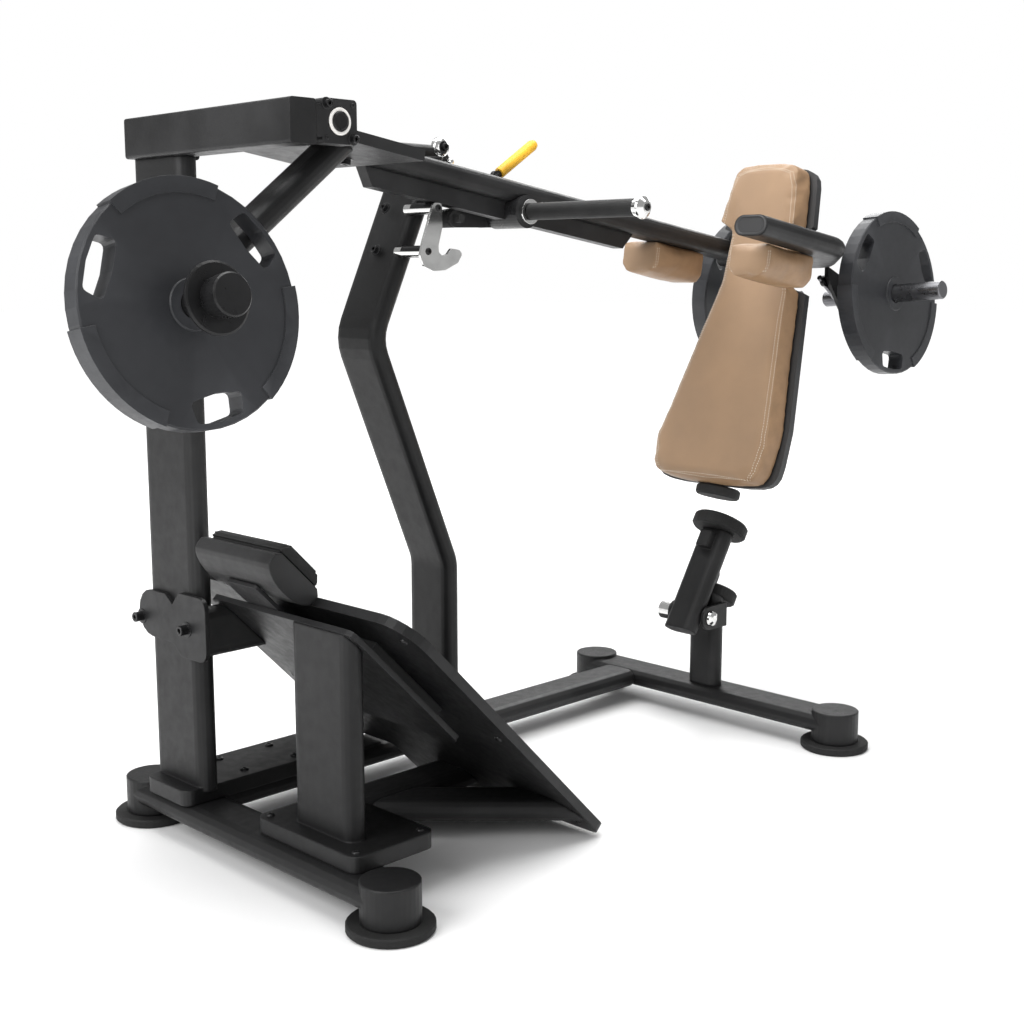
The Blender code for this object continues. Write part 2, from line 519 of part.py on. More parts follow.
def build_arm(mats):
    """Shaft, hub, main tube with its rails and collar, and the shoulder tube that bends behind."""
    turned("pivot_shaft", ((0, 0), (SHAFT_RADIUS, 0), (SHAFT_RADIUS, 0.574), (0, 0.574)),
           (PIVOT_X, BEARING_NEAR_Y + 0.002, PIVOT_Z), LATERAL, mats["steel"], 24)
    reach = HUB_Y[1] - HUB_Y[0]
    turned("arm_hub", ((SHAFT_RADIUS + GAP, 0), (HUB_RADIUS, 0), (HUB_RADIUS, reach),
                       (SHAFT_RADIUS + GAP, reach)), (PIVOT_X, HUB_Y[0], PIVOT_Z), LATERAL,
           mats["frame"], 24, True)
    tube = sweep("main_arm_tube", obround(ARM_WIDTH, ARM_DEPTH, 8),
                 (arm_at(ARM_START_X), arm_at(ARM_END_X)), LATERAL, mats["frame"])
    under = -ARM_DEPTH / 2 - GAP
    low_y, high_y = HUB_PLATE_Y
    back, front = (x / ARM_AXIS.x for x in HUB_PLATE_X)
    outline = ((back, under), (back, under - HUB_PLATE_DEPTH), (front, under - HUB_PLATE_DEPTH),
               (front, under))
    plate = prism("hub_plate", outline, arm_at(0, high_y), ARM_AXIS, ARM_NORMAL, high_y - low_y,
                  mats["frame"], False)
    hub_room = rod("cut_hub", HUB_RADIUS + GAP, (PIVOT_X, -0.4, PIVOT_Z), (PIVOT_X, 0.4, PIVOT_Z), None)
    cut(plate, hub_room)
    cut(tube, hub_room)
    collar_room = rod("cut_collar", COLLAR_RADIUS + GAP, (HANDLE_X, 0.0, HANDLE_Z),
                      (HANDLE_X, 0.3, HANDLE_Z), None, 32)
    cut(tube, collar_room)
    for label, ends in (("front", (-0.457, -0.430, HANDLE_X, HANDLE_X)),
                        ("rear", (HANDLE_X, HANDLE_X, 0.432, 0.466))):
        top_left, bottom_left, bottom_right, top_right = ends
        outline = ((top_left, under), (bottom_left, under - RAIL_DEPTH),
                   (bottom_right, under - RAIL_DEPTH), (top_right, under))
        rail = prism(f"arm_rail_{label}", outline, arm_at(0, ARM_Y + RAIL_WIDTH / 2), ARM_AXIS,
                     ARM_NORMAL, RAIL_WIDTH, mats["frame"], False)
        cut(rail, collar_room)
    length = COLLAR_Y[1] - COLLAR_Y[0]
    turned("handle_collar", ((COLLAR_BORE, 0), (COLLAR_RADIUS, 0), (COLLAR_RADIUS, length),
                             (COLLAR_BORE, length)),
           (HANDLE_X, COLLAR_Y[0], HANDLE_Z), LATERAL, mats["frame"], 32, True)
    bend, corner = yoke_at(YOKE_BEND_X, YOKE_POINT.y), yoke_at(YOKE_END_X, YOKE_BEND_Y)
    sweep("shoulder_yoke", swap(obround(ARM_WIDTH, ARM_DEPTH, 8)),
          filleted((YOKE_POINT, bend, corner, yoke_at(YOKE_END_X, YOKE_END_Y)), 0.075, 6), ARM_NORMAL,
          mats["frame"])


def yoke_at(x, y):
    """Point in the plane of the shoulder tube, which is parallel to the main tube."""
    point = YOKE_POINT + ARM_AXIS * (x - YOKE_POINT.x) / ARM_AXIS.x
    return Vector((point.x, y, point.z))


def build_counterweight(mats):
    """Lever below the pivot with its horn, and the cap that keeps the fixed plate on."""
    outward = Vector((0, -math.cos(COUNTER_TILT), math.sin(COUNTER_TILT)))
    lever_y = -0.0730
    start, end = Vector((-0.690, lever_y, 1.4936)), Vector((COUNTER_CENTRE.x, lever_y, 1.1660))
    lever = sweep("counterweight_lever", obround(0.090, 0.050, 8),
                  (start, end + (end - start).normalized() * 0.030), LATERAL, mats["frame"])
    outline = ((-0.2, -0.2), (0.2, -0.2), (0.2, 0.2), (-0.2, 0.2))
    below = arm_at(-0.700, lever_y, -ARM_DEPTH / 2 - HUB_PLATE_DEPTH - 2 * GAP)
    cut(lever, prism("cut_lever_top", outline, below, ARM_AXIS, LATERAL, 0.1, None, False))
    back = PLATE_THICKNESS + PLATE_REST
    boss = rod("cut_lever_boss", 0.0360 + GAP, COUNTER_CENTRE - outward * (back - 0.02),
               COUNTER_CENTRE - outward * (back + 0.085), None, 32)
    cut(lever, boss)
    turned("counterweight_horn",
           ((0, -back - 0.080), (0.036, -back - 0.080), (0.036, -back - 0.012), (0.046, -back - 0.010),
            (0.046, -back), (HORN_RADIUS, -back), (HORN_RADIUS, 0.0730), (0, 0.0730)),
           COUNTER_CENTRE, outward, mats["frame"])
    turned("counterweight_cap",
           ((0, 0.0733), (0.062, 0.0733), (0.066, 0.0750), (0.066, 0.0800), (0.062, 0.0820),
            (0.0370, 0.0820), (0.0370, 0.1000), (0.0395, 0.1030), (0.0395, 0.1250), (0.0365, 0.1280),
            (0, 0.1280)), COUNTER_CENTRE, outward, mats["frame"])


def weight_plate(name, face, outward, turn, material):
    """Cast plate with its outer face at `face`: bore, hub ring and three grip slots."""
    back = face - outward * PLATE_THICKNESS
    t = PLATE_THICKNESS
    profile = ((PLATE_BORE, 0), (PLATE_RADIUS - 0.003, 0), (PLATE_RADIUS, 0.003), (PLATE_RADIUS, t - 0.003),
               (PLATE_RADIUS - 0.003, t), (0.048, t), (0.046, t + 0.003), (PLATE_BORE, t + 0.003))
    plate = turned(name, profile, back, outward, material, 48, True)
    across = UP.cross(outward).normalized()
    upward = outward.cross(across)
    for k in range(3):
        angle = turn + math.radians(120 * k)
        radial = across * math.cos(angle) + upward * math.sin(angle)
        tangent = outward.cross(radial)
        outline = rounded_polygon(((-0.056, -0.022), (0.0, -0.027), (0.056, -0.022), (0.050, 0.019),
                                   (0.0, 0.024), (-0.050, 0.019)), (0.010, 0, 0.010, 0.010, 0, 0.010), 3)
        cut(plate, prism(f"cut_{name}_{k}", outline, back - outward * 0.01 + radial * 0.189, tangent,
                         radial, -t - 0.03, None, False))
        # Raised stretch of the rim, halfway between two slots.
        arc = [turn + math.radians(120 * k + 60 + 29.5 * (i / 6 - 1)) for i in range(13)]
        rim = [(RIM_OUTER * math.cos(a), RIM_OUTER * math.sin(a)) for a in arc]
        rim += [(RIM_INNER * math.cos(a), RIM_INNER * math.sin(a)) for a in reversed(arc)]
        cut(plate, prism(f"join_{name}_{k}", rim, back + outward * 0.001, across, upward,
                         t - 0.001 + RIM_PROUD, None, False), operation="UNION")
    return plate


def build_horns(mats):
    """A loading horn on each side, carried by a bracket from the shoulder tube."""
    for label, sign in (("near", -1), ("far", 1)):
        outward = Vector((0, sign * math.cos(HORN_TILT), math.sin(HORN_TILT)))
        face = Vector((HORN_X, sign * HORN_FACE_Y, HORN_FACE_Z))
        back = PLATE_THICKNESS + PLATE_REST
        root = (HORN_FACE_Y - HORN_INNER_Y) / math.cos(HORN_TILT)
        turned(f"horn_{label}",
               ((0, -root), (0.019, -root), (0.0225, -root + 0.004), (0.0225, -back - 0.010),
                (0.055, -back - 0.010), (0.055, -back), (HORN_RADIUS, -back),
                (HORN_RADIUS, HORN_REACH - 0.003), (HORN_RADIUS - 0.003, HORN_REACH), (0, HORN_REACH)),
               face, outward, mats["steel"])
        axis_z = HORN_FACE_Z - (HORN_FACE_Y - 0.121) * math.tan(HORN_TILT)
        outline = rounded_polygon(((1.0135, 1.255), (1.165, 1.195), (1.160, 1.120), (1.100, 1.120),
                                   (1.0135, 1.225)), (0.0, 0.015, 0.02, 0.02, 0.0))
        bracket = prism(f"horn_bracket_{label}", outline, (0, sign * 0.121 + 0.006, 0), (1, 0, 0), UP,
                        0.012, mats["frame"])
        cut(bracket, rod(f"cut_horn_bracket_{label}", 0.0225 + 2 * GAP,
                         (HORN_X, sign * 0.101, axis_z - 0.020 * math.tan(HORN_TILT)),
                         (HORN_X, sign * 0.141, axis_z + 0.020 * math.tan(HORN_TILT)), None))


def pad_outline(lower, upper, waists):
    """Outline as (Y, height) pairs, with a waist where the tubes and shoulder pads pass.

    The far side runs straight from its lower corner to the waist."""
    sides = []
    for sign, waist in zip((-1, 1), waists):
        side = [(sign * y, s) for s, y in lower if sign < 0 or s < FAR_TAPER_START]
        side += [(sign * waist, s) for s in WAIST]
        side += [(sign * y, s) for s, y in upper]
        sides.append(side)
    return sides[0] + sides[1][::-1]


def build_pads(mats):
    """Backing board, back pad, shoulder pads and the bumper below the board."""
    along = (PAD_TOP - PAD_BOTTOM).normalized()
    back = LATERAL.cross(along)
    prism("back_pad", pad_outline(PAD_LOWER, PAD_UPPER, PAD_WAIST), PAD_BOTTOM, LATERAL, along, PAD_THICKNESS,
          mats["vinyl"])
    prism("back_board", pad_outline(BOARD_LOWER, BOARD_UPPER, BOARD_WAIST),
          PAD_BOTTOM + back * (PAD_THICKNESS + GAP), LATERAL, along, BOARD_THICKNESS, mats["board"])
    bumper = PAD_BOTTOM + back * 0.0920 - along * 0.0070
    width, height, run = 0.126, 0.086, 0.215
    section = ((-width / 2, 0), (-width / 2, -height + 0.022), (-width / 2 + 0.020, -height),
               (width / 2 - 0.020, -height), (width / 2, -height + 0.022), (width / 2, 0))
    tops = (("near", -1, YOKE_POINT), ("far", 1, ARM_POINT))
    for label, sign, tube in tops:
        under = tube + ARM_AXIS * (0.560 - tube.x) / ARM_AXIS.x - ARM_NORMAL * (ARM_DEPTH / 2 + GAP)
        prism(f"shoulder_pad_{label}", section, (under.x, sign * 0.181, under.z), LATERAL, ARM_NORMAL,
              run, mats["vinyl"])
    turned("pad_bumper", ((0, 0), (0.057, 0), (0.062, 0.005), (0.062, 0.022), (0.057, 0.028), (0, 0.028)),
           bumper, -along, mats["rubber"])


def build_handle(mats):
    """Twist bar through the collar with its sleeve and bright end cap."""
    start = -0.2620
    turned("handle_bar",
           ((0, 0), (0.0150, 0), (0.0150, 0.3320), (0.0300, 0.3320), (0.0300, 0.3447),
            (COLLAR_BORE - GAP, 0.3447), (COLLAR_BORE - GAP, 0.4520), (0.0150, 0.4520),
            (0.0150, 0.5128), (0.0260, 0.5128), (0.0260, 0.5205), (0, 0.5225)),
           (HANDLE_X, start, HANDLE_Z), LATERAL, mats["chrome"])
    turned("handle_grip", ((0.0150 + GAP, 0), (0.0205, 0), (0.0205, 0.3300), (0.0150 + GAP, 0.3300)),
           (HANDLE_X, start + GAP, HANDLE_Z), LATERAL, mats["rubber"], 24, True)
    turned("handle_cap", ((0, 0.0320), (0.0140, 0.0310), (0.0250, 0.0210), (0.0265, 0.0170),
                          (0.0265, 0.0150), (0.0205, 0.0130), (0.0205, 0), (0, 0)),
           (HANDLE_X, start - GAP, HANDLE_Z), -LATERAL, mats["chrome"])


def build_lock(mats):
    """Lever beside the collar with a yellow grip, and the roller that it carries under the arm."""
    side = COLLAR_Y[1] + 0.0005
    hub, thickness, drum = 0.0360, 0.0110, 0.0595
    roller, stem = Vector((-0.1860, 0.0, 1.3640)), Vector((0.0180, 0.0, 1.4730))
    tip = Vector((0.1585, 0.0, 1.5620))
    points = []
    for (x, z), radius, first, last in (((HANDLE_X, HANDLE_Z), hub, -100, 10),
                                        ((stem.x, stem.z), 0.014, 10, 150),
                                        ((HANDLE_X, HANDLE_Z), hub, 110, 125),
                                        ((roller.x, roller.z), 0.019, 85, 265)):
        for k in range(7):
            angle = math.radians(first + (last - first) * k / 6)
            points.append((x + radius * math.cos(angle), z + radius * math.sin(angle)))
    lever = prism("lock_lever", points, (0, side + thickness, 0), (1, 0, 0), UP, thickness,
                  mats["frame"], False)
    cut(lever, rod("join_drum", hub - 0.001, (HANDLE_X, side + thickness / 2, HANDLE_Z),
                   (HANDLE_X, side + drum, HANDLE_Z), None, 32), operation="UNION")
    cut(lever, rod("cut_lock_hub", 0.0150 + 2 * GAP, (HANDLE_X, side - 0.02, HANDLE_Z),
                   (HANDLE_X, side + 0.09, HANDLE_Z), None))
    axis = (tip - stem).normalized()
    middle = LATERAL * (side + thickness / 2)
    cut(lever, rod("join_stem", 0.0080, stem + middle - axis * 0.006, stem + middle + axis * 0.075, None,
                   16), operation="UNION")
    turned("lock_grip", ((0.0080 + GAP, 0), (0.0135, 0), (0.0140, 0.004), (0.0140, 0.137),
                         (0.0110, 0.146), (0.0040, 0.150), (0, 0.150), (0, 0.0600), (0.0080 + GAP, 0.0600)),
           stem + middle + axis * 0.0155, axis, mats["yellow"], 20, True)
    turned("lock_roller", ((0, 0), (0.0205, 0), (0.0205, 0.060), (0.0190, 0.0605), (0.0190, 0.068),
                           (0.0100, 0.0685), (0.0100, 0.090), (0, 0.090)),
           roller + LATERAL * (side - GAP), -LATERAL, mats["rubber"], 24)


def hang(name, place, pieces):
    """Parent the pieces of one moving body to an empty on its joint's axis."""
    empty = bpy.data.objects.new(name, None)
    empty.location = Vector(place) - Vector((CENTRE_X, 0, 0))
    bpy.context.scene.collection.objects.link(empty)
    for piece in pieces:
        obj = bpy.data.objects[piece]
        obj.parent = empty
        obj.matrix_parent_inverse = Matrix.Translation(-empty.location)


def main():
    clear_scene()
    mats = {
        "frame": make_material("frame_black", (0.022, 0.022, 0.023), 0.45),
        "rubber": make_material("black_rubber", (0.018, 0.018, 0.018), 0.75),
        "chrome": make_material("chrome", (0.80, 0.80, 0.79), 0.12, 1.0),
        "steel": make_material("dark_steel", (0.10, 0.10, 0.11), 0.28, 1.0),
        "plate": make_material("plate_grey", (0.055, 0.057, 0.062), 0.42),
        "vinyl": make_material("tan_vinyl", (0.42, 0.26, 0.14), 0.55),
        "board": make_material("board_grey", (0.05, 0.05, 0.052), 0.6),
        "yellow": make_material("yellow_grip", (0.90, 0.66, 0.06), 0.45),
    }
    build_feet(mats)
    build_base(mats)
    build_top(mats)
    build_hook(mats)
    build_footplate(mats)
    build_calf_pad(mats)
    build_stop(mats)
    build_arm(mats)
    build_counterweight(mats)
    build_horns(mats)
    build_pads(mats)
    build_handle(mats)
    build_lock(mats)
    for label, sign, turn in (("near", -1, 22.5), ("far", 1, 40.0)):
        outward = Vector((0, sign * math.cos(HORN_TILT), math.sin(HORN_TILT)))
        face = Vector((HORN_X, sign * HORN_FACE_Y, HORN_FACE_Z))
        weight_plate(f"plate_{label}", face, outward, math.radians(turn), mats["plate"])
        hang(f"plate_{label}_axis", face, (f"plate_{label}",))
    weight_plate("counterweight_plate", COUNTER_CENTRE,
                 Vector((0, -math.cos(COUNTER_TILT), math.sin(COUNTER_TILT))), math.radians(38.5),
                 mats["plate"])
    hang("arm_pivot", (PIVOT_X, 0, PIVOT_Z),
         ("pivot_shaft", "arm_hub", "hub_plate", "main_arm_tube", "arm_rail_front", "arm_rail_rear",
          "handle_collar", "shoulder_yoke", "counterweight_lever", "counterweight_horn",
          "counterweight_cap", "counterweight_plate", "horn_near", "horn_far", "horn_bracket_near",
          "horn_bracket_far", "back_pad", "back_board", "shoulder_pad_near", "shoulder_pad_far",
          "pad_bumper"))
    hang("handle_axis", (HANDLE_X, 0, HANDLE_Z), ("handle_bar", "handle_grip", "handle_cap"))
    hang("lock_axis", (HANDLE_X, 0, HANDLE_Z), ("lock_lever", "lock_grip", "lock_roller"))
    hang("stop_axis", STOP_PIN, ("stop_tube", "stop_disc"))


main()
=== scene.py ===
"""Looks for the pendulum squat machine: cushions, seams, fasteners, trim, materials and studio."""

import math

import bmesh
import bpy
from mathutils import Matrix, Vector
from mathutils.bvhtree import BVHTree
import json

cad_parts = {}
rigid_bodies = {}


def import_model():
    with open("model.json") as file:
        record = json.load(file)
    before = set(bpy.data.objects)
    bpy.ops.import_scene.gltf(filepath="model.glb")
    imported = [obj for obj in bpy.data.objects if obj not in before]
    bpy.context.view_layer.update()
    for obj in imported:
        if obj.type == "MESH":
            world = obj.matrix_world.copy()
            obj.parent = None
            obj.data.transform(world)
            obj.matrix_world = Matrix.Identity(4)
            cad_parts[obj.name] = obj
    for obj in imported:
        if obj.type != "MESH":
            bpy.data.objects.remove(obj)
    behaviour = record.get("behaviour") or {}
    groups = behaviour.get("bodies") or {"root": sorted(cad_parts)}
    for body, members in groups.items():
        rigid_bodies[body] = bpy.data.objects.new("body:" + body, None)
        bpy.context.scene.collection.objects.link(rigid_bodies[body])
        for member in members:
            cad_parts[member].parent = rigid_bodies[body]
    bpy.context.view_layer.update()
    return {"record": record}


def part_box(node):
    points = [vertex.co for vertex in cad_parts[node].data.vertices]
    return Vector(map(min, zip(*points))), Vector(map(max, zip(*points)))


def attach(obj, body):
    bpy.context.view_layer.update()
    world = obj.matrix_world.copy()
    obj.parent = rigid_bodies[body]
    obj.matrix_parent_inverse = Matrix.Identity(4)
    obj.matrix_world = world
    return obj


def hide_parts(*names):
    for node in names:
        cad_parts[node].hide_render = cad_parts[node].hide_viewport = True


UP = Vector((0, 0, 1))
LATERAL = Vector((0, 1, 0))
NEAR = -LATERAL

CAMERA_PLACE = (-2.5708, -2.4330, 1.2430)
CAMERA_TURN = (80.594, 0.0, -45.04)  # degrees
CAMERA_LENS = 51.16

CENTRE_X = 0.0138  # the layout's X less this is the frame's X
ARM_SLOPE = math.atan(0.1477)  # the main tube falls this steeply towards the pads
ARM_AXIS = Vector((math.cos(ARM_SLOPE), 0, -math.sin(ARM_SLOPE)))
ARM_NORMAL = Vector((math.sin(ARM_SLOPE), 0, math.cos(ARM_SLOPE)))
PAD_TILT = math.radians(17.83)
COUNTERWEIGHT_TILT = math.radians(9.0)
HORN_TILT = math.radians(4.6)
PLATE_DOWN = Vector((1, 0, -1)).normalized()  # down the footplate, and out of its front
PLATE_OUT = Vector((1, 0, 1)).normalized()

STITCH_PITCH, STITCH_LENGTH, STITCH_RADIUS = 0.0072, 0.0046, 0.0008


# ---------------------------------------------------------------- materials

class Nodes:
    """Short way to add and link the nodes of one material."""

    def __init__(self, name):
        self.material = bpy.data.materials.new(name)
        self.material.use_nodes = True
        self.tree = self.material.node_tree
        self.shader = self.tree.nodes["Principled BSDF"]

    def add(self, kind, inputs=None, **settings):
        node = self.tree.nodes.new(kind)
        for key, value in settings.items():
            setattr(node, key, value)
        for key, value in (inputs or {}).items():
            if isinstance(value, bpy.types.NodeSocket):
                self.tree.links.new(value, node.inputs[key])
            else:
                node.inputs[key].default_value = value
        return node

    def link(self, source, key):
        self.tree.links.new(source, self.shader.inputs[key])

    def place(self, rotation=(0, 0, 0), scale=(1, 1, 1)):
        coords = self.add("ShaderNodeTexCoord").outputs["Object"]
        return self.add("ShaderNodeMapping", {"Vector": coords, "Rotation": rotation,
                                              "Scale": scale}).outputs[0]

    def noise(self, vector, scale, detail=3.0, roughness=0.55):
        return self.add("ShaderNodeTexNoise", {"Vector": vector, "Scale": scale, "Detail": detail,
                                               "Roughness": roughness}).outputs["Fac"]

    def ramp(self, factor, low, high, start=0.0, end=1.0):
        """Colour or value that runs from low to high as the factor runs from start to end."""
        if isinstance(low, tuple):
            node = self.add("ShaderNodeValToRGB", {"Fac": factor})
            node.color_ramp.elements[0].position = start
            node.color_ramp.elements[0].color = (*low, 1)
            node.color_ramp.elements[1].position = end
            node.color_ramp.elements[1].color = (*high, 1)
            return node.outputs["Color"]
        return self.add("ShaderNodeMapRange", {"Value": factor, "From Min": start, "From Max": end,
                                               "To Min": low, "To Max": high}).outputs["Result"]

    def math(self, operation, first, second=0.0):
        return self.add("ShaderNodeMath", {0: first, 1: second}, operation=operation).outputs[0]

    def rounded(self, radius):
        return self.add("ShaderNodeBevel", {"Radius": radius}, samples=6).outputs["Normal"]

    def bump(self, height, depth, normal=None):
        inputs = {"Height": height, "Distance": depth, "Strength": 1.0}
        if normal:
            inputs["Normal"] = normal
        return self.add("ShaderNodeBump", inputs).outputs["Normal"]


def powder_coat(name, color, roughness, grain=0.00025, edge=0.0022):
    """Painted metal: fine orange-peel texture, slight colour drift, paler and smoother rubbed edges."""
    n = Nodes(name)
    place = n.place()
    fine = n.noise(place, 900.0, 2.0)
    drift = n.noise(place, 4.0, 4.0)
    dark = tuple(c * 0.82 for c in color)
    light = tuple(c * 1.22 + 0.002 for c in color)
    base = n.ramp(drift, dark, light, 0.3, 0.75)
    pointiness = n.add("ShaderNodeNewGeometry").outputs["Pointiness"]
    worn = n.math("MULTIPLY", n.ramp(pointiness, 0.0, 0.5, 0.53, 0.62), n.ramp(drift, 0.2, 1.0, 0.4, 0.6))
    mix = n.add("ShaderNodeMix", data_type="RGBA")
    n.tree.links.new(worn, mix.inputs["Factor"])
    n.tree.links.new(base, mix.inputs[6])
    mix.inputs[7].default_value = (*(c * 2.4 + 0.02 for c in color), 1)
    n.link(mix.outputs[2], "Base Color")
    n.link(n.ramp(n.noise(place, 45.0), roughness - 0.05, roughness + 0.07, 0.3, 0.7), "Roughness")
    n.link(n.bump(fine, grain, n.rounded(edge)), "Normal")
    n.shader.inputs["Specular IOR Level"].default_value = 0.30
    return n.material


def rubber(name, color, roughness=0.72):
    n = Nodes(name)
    place = n.place()
    spots = n.noise(place, 480.0, 3.0)
    n.link(n.ramp(n.noise(place, 9.0), tuple(c * 0.75 for c in color), tuple(c * 1.5 + 0.004 for c in color),
                  0.3, 0.75), "Base Color")
    n.link(n.ramp(spots, roughness - 0.08, roughness + 0.1, 0.3, 0.7), "Roughness")
    n.link(n.bump(spots, 0.0003, n.rounded(0.0015)), "Normal")
    n.shader.inputs["Specular IOR Level"].default_value = 0.35
    return n.material


def metal(name, color, roughness, brushed=0.0):
    """Bare or plated metal. Brushed metal is drawn out along Y, the way its bars were turned."""
    n = Nodes(name)
    streaks = n.noise(n.place(scale=(1.0, 0.04, 1.0)), 700.0, 3.0)
    smudge = n.noise(n.place(), 14.0, 4.0)
    n.link(n.ramp(smudge, tuple(c * 0.88 for c in color), color, 0.3, 0.7), "Base Color")
    n.link(n.ramp(smudge, roughness * 0.7, roughness * 1.5, 0.3, 0.75), "Roughness")
    n.link(n.bump(streaks, 0.00002 + brushed, n.rounded(0.0008)), "Normal")
    n.shader.inputs["Metallic"].default_value = 1.0
    return n.material


def woven_vinyl(name, color, tilt):
    """Front panels: a fine diagonal basket weave pressed into vinyl, laid out in the panel's plane."""
    n = Nodes(name)
    place = n.place(rotation=(0, tilt, 0))
    split = n.add("ShaderNodeSeparateXYZ", {"Vector": place})
    pitch = 2 * math.pi / 0.0034
    up = n.math("SINE", n.math("MULTIPLY", n.math("ADD", split.outputs["Y"], split.outputs["Z"]), pitch))
    down = n.math("SINE", n.math("MULTIPLY", n.math("SUBTRACT", split.outputs["Y"], split.outputs["Z"]), pitch))
    weave = n.math("MULTIPLY", up, down)
    fibres = n.noise(place, 1300.0, 2.0)
    cloud = n.noise(place, 6.0, 4.0)
    flecks = n.math("ADD", cloud, n.math("MULTIPLY", fibres, 0.2))
    shade = n.math("ADD", n.math("MULTIPLY", weave, 0.32), flecks)
    n.link(n.ramp(shade, tuple(c * 0.76 for c in color), tuple(c * 1.16 for c in color), 0.15, 1.1),
           "Base Color")
    n.link(n.ramp(weave, 0.62, 0.50, -1.0, 1.0), "Roughness")
    height = n.math("ADD", n.math("MULTIPLY", weave, 0.5), n.math("MULTIPLY", fibres, 0.25))
    n.link(n.bump(height, 0.0004), "Normal")
    n.shader.inputs["Sheen Weight"].default_value = 0.25
    n.shader.inputs["Sheen Roughness"].default_value = 0.5
    return n.material


def grained_vinyl(name, color):
    """Side panels: smooth vinyl with a fine pebbled grain and shallow creases."""
    n = Nodes(name)
    place = n.place()
    cells = n.add("ShaderNodeTexVoronoi", {"Vector": place, "Scale": 620.0},
                  feature="F1").outputs["Distance"]
    crease = n.noise(place, 26.0, 5.0)
    n.link(n.ramp(crease, tuple(c * 0.84 for c in color), tuple(c * 1.1 for c in color), 0.3, 0.75),
           "Base Color")
    n.link(n.ramp(cells, 0.42, 0.56, 0.1, 0.7), "Roughness")
    height = n.math("ADD", n.math("MULTIPLY", cells, 0.25), n.math("MULTIPLY", crease, 1.2))
    n.link(n.bump(height, 0.0005), "Normal")
    n.shader.inputs["Coat Weight"].default_value = 0.06
    return n.material


def thread(name, color):
    n = Nodes(name)
    twist = n.noise(n.place(), 2600.0, 1.0)
    n.link(n.ramp(twist, tuple(c * 0.8 for c in color), color, 0.3, 0.7), "Base Color")
    n.link(n.bump(twist, 0.0002), "Normal")
    n.shader.inputs["Roughness"].default_value = 0.7
    return n.material


def plain_plastic(name, color, roughness):
    n = Nodes(name)
    place = n.place()
    speck = n.noise(place, 260.0, 3.0)
    n.link(n.ramp(speck, tuple(c * 0.92 for c in color), color, 0.3, 0.6), "Base Color")
    n.link(n.ramp(speck, roughness - 0.05, roughness + 0.08, 0.3, 0.7), "Roughness")
    n.link(n.bump(speck, 0.00012, n.rounded(0.0008)), "Normal")
    return n.material


# ---------------------------------------------------------------- mesh helpers

def finish(name, bm, material, body, smooth_angle=35):
    bmesh.ops.recalc_face_normals(bm, faces=bm.faces)
    mesh = bpy.data.meshes.new(name)
    bm.to_mesh(mesh)
    bm.free()
    mesh.materials.append(material)
    mesh.shade_smooth()
    mesh.set_sharp_from_angle(angle=math.radians(smooth_angle))
    obj = bpy.data.objects.new(name, mesh)
    bpy.context.scene.collection.objects.link(obj)
    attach(obj, body)
    return obj


def frame_of(axis):
    axis = Vector(axis).normalized()
    first = axis.orthogonal().normalized()
    return Matrix((first, axis.cross(first), axis)).transposed()


def add_turned(bm, profile, origin, axis, segments=32, hexagon=False):
    """Turned shape from (radius, height) pairs, open where the profile starts and ends off the axis."""
    basis, origin = frame_of(axis), Vector(origin)
    count = 6 if hexagon else segments
    rings = []
    for radius, height in profile:
        if radius < 1e-6:
            rings.append([bm.verts.new(origin + basis @ Vector((0, 0, height)))])
        else:
            rings.append([bm.verts.new(origin + basis @ Vector((radius * math.cos(2 * math.pi * i / count),
                                                                radius * math.sin(2 * math.pi * i / count),
                                                                height))) for i in range(count)])
    for low, high in zip(rings, rings[1:]):
        for i in range(count):
            j = (i + 1) % count
            face = list(dict.fromkeys((low[i % len(low)], low[j % len(low)], high[j % len(high)],
                                       high[i % len(high)])))
            if len(face) > 2:
                bm.faces.new(face)


def socket_bolt(bm, place, axis, radius=0.008, height=0.008):
    """Socket cap screw with a washer, a chamfered head and a hexagonal recess."""
    add_turned(bm, ((0, -0.001), (radius * 1.55, -0.001), (radius * 1.55, 0.0012), (radius * 1.45, 0.0016),
                    (radius, 0.0016), (radius, height - 0.001), (radius - 0.001, height),
                    (radius * 0.56, height)), place, axis)
    add_turned(bm, ((radius * 0.62, height), (radius * 0.5, height - 0.001), (radius * 0.5, height * 0.4),
                    (0, height * 0.4)), place, axis, hexagon=True)


def button_bolt(bm, place, axis, radius=0.010):
    """Low domed screw with a hexagonal recess."""
    add_turned(bm, ((radius, -0.001), (radius, 0.001), (radius * 0.86, radius * 0.34),
                    (radius * 0.55, radius * 0.5), (radius * 0.42, radius * 0.5)), place, axis)
    add_turned(bm, ((radius * 0.45, radius * 0.5), (radius * 0.38, radius * 0.46), (radius * 0.38, 0.001),
                    (0, 0.001)), place, axis, hexagon=True)


def bolts(name, kind, places, body, material, slot, **sizes):
    bm = bmesh.new()
    for place, axis in places:
        kind(bm, place, axis, **sizes)
    return finish(name, bm, material, body)


def turned(name, profile, origin, axis, body, material, slot, segments=48):
    bm = bmesh.new()
    add_turned(bm, profile, origin, axis, segments)
    return finish(name, bm, material, body)


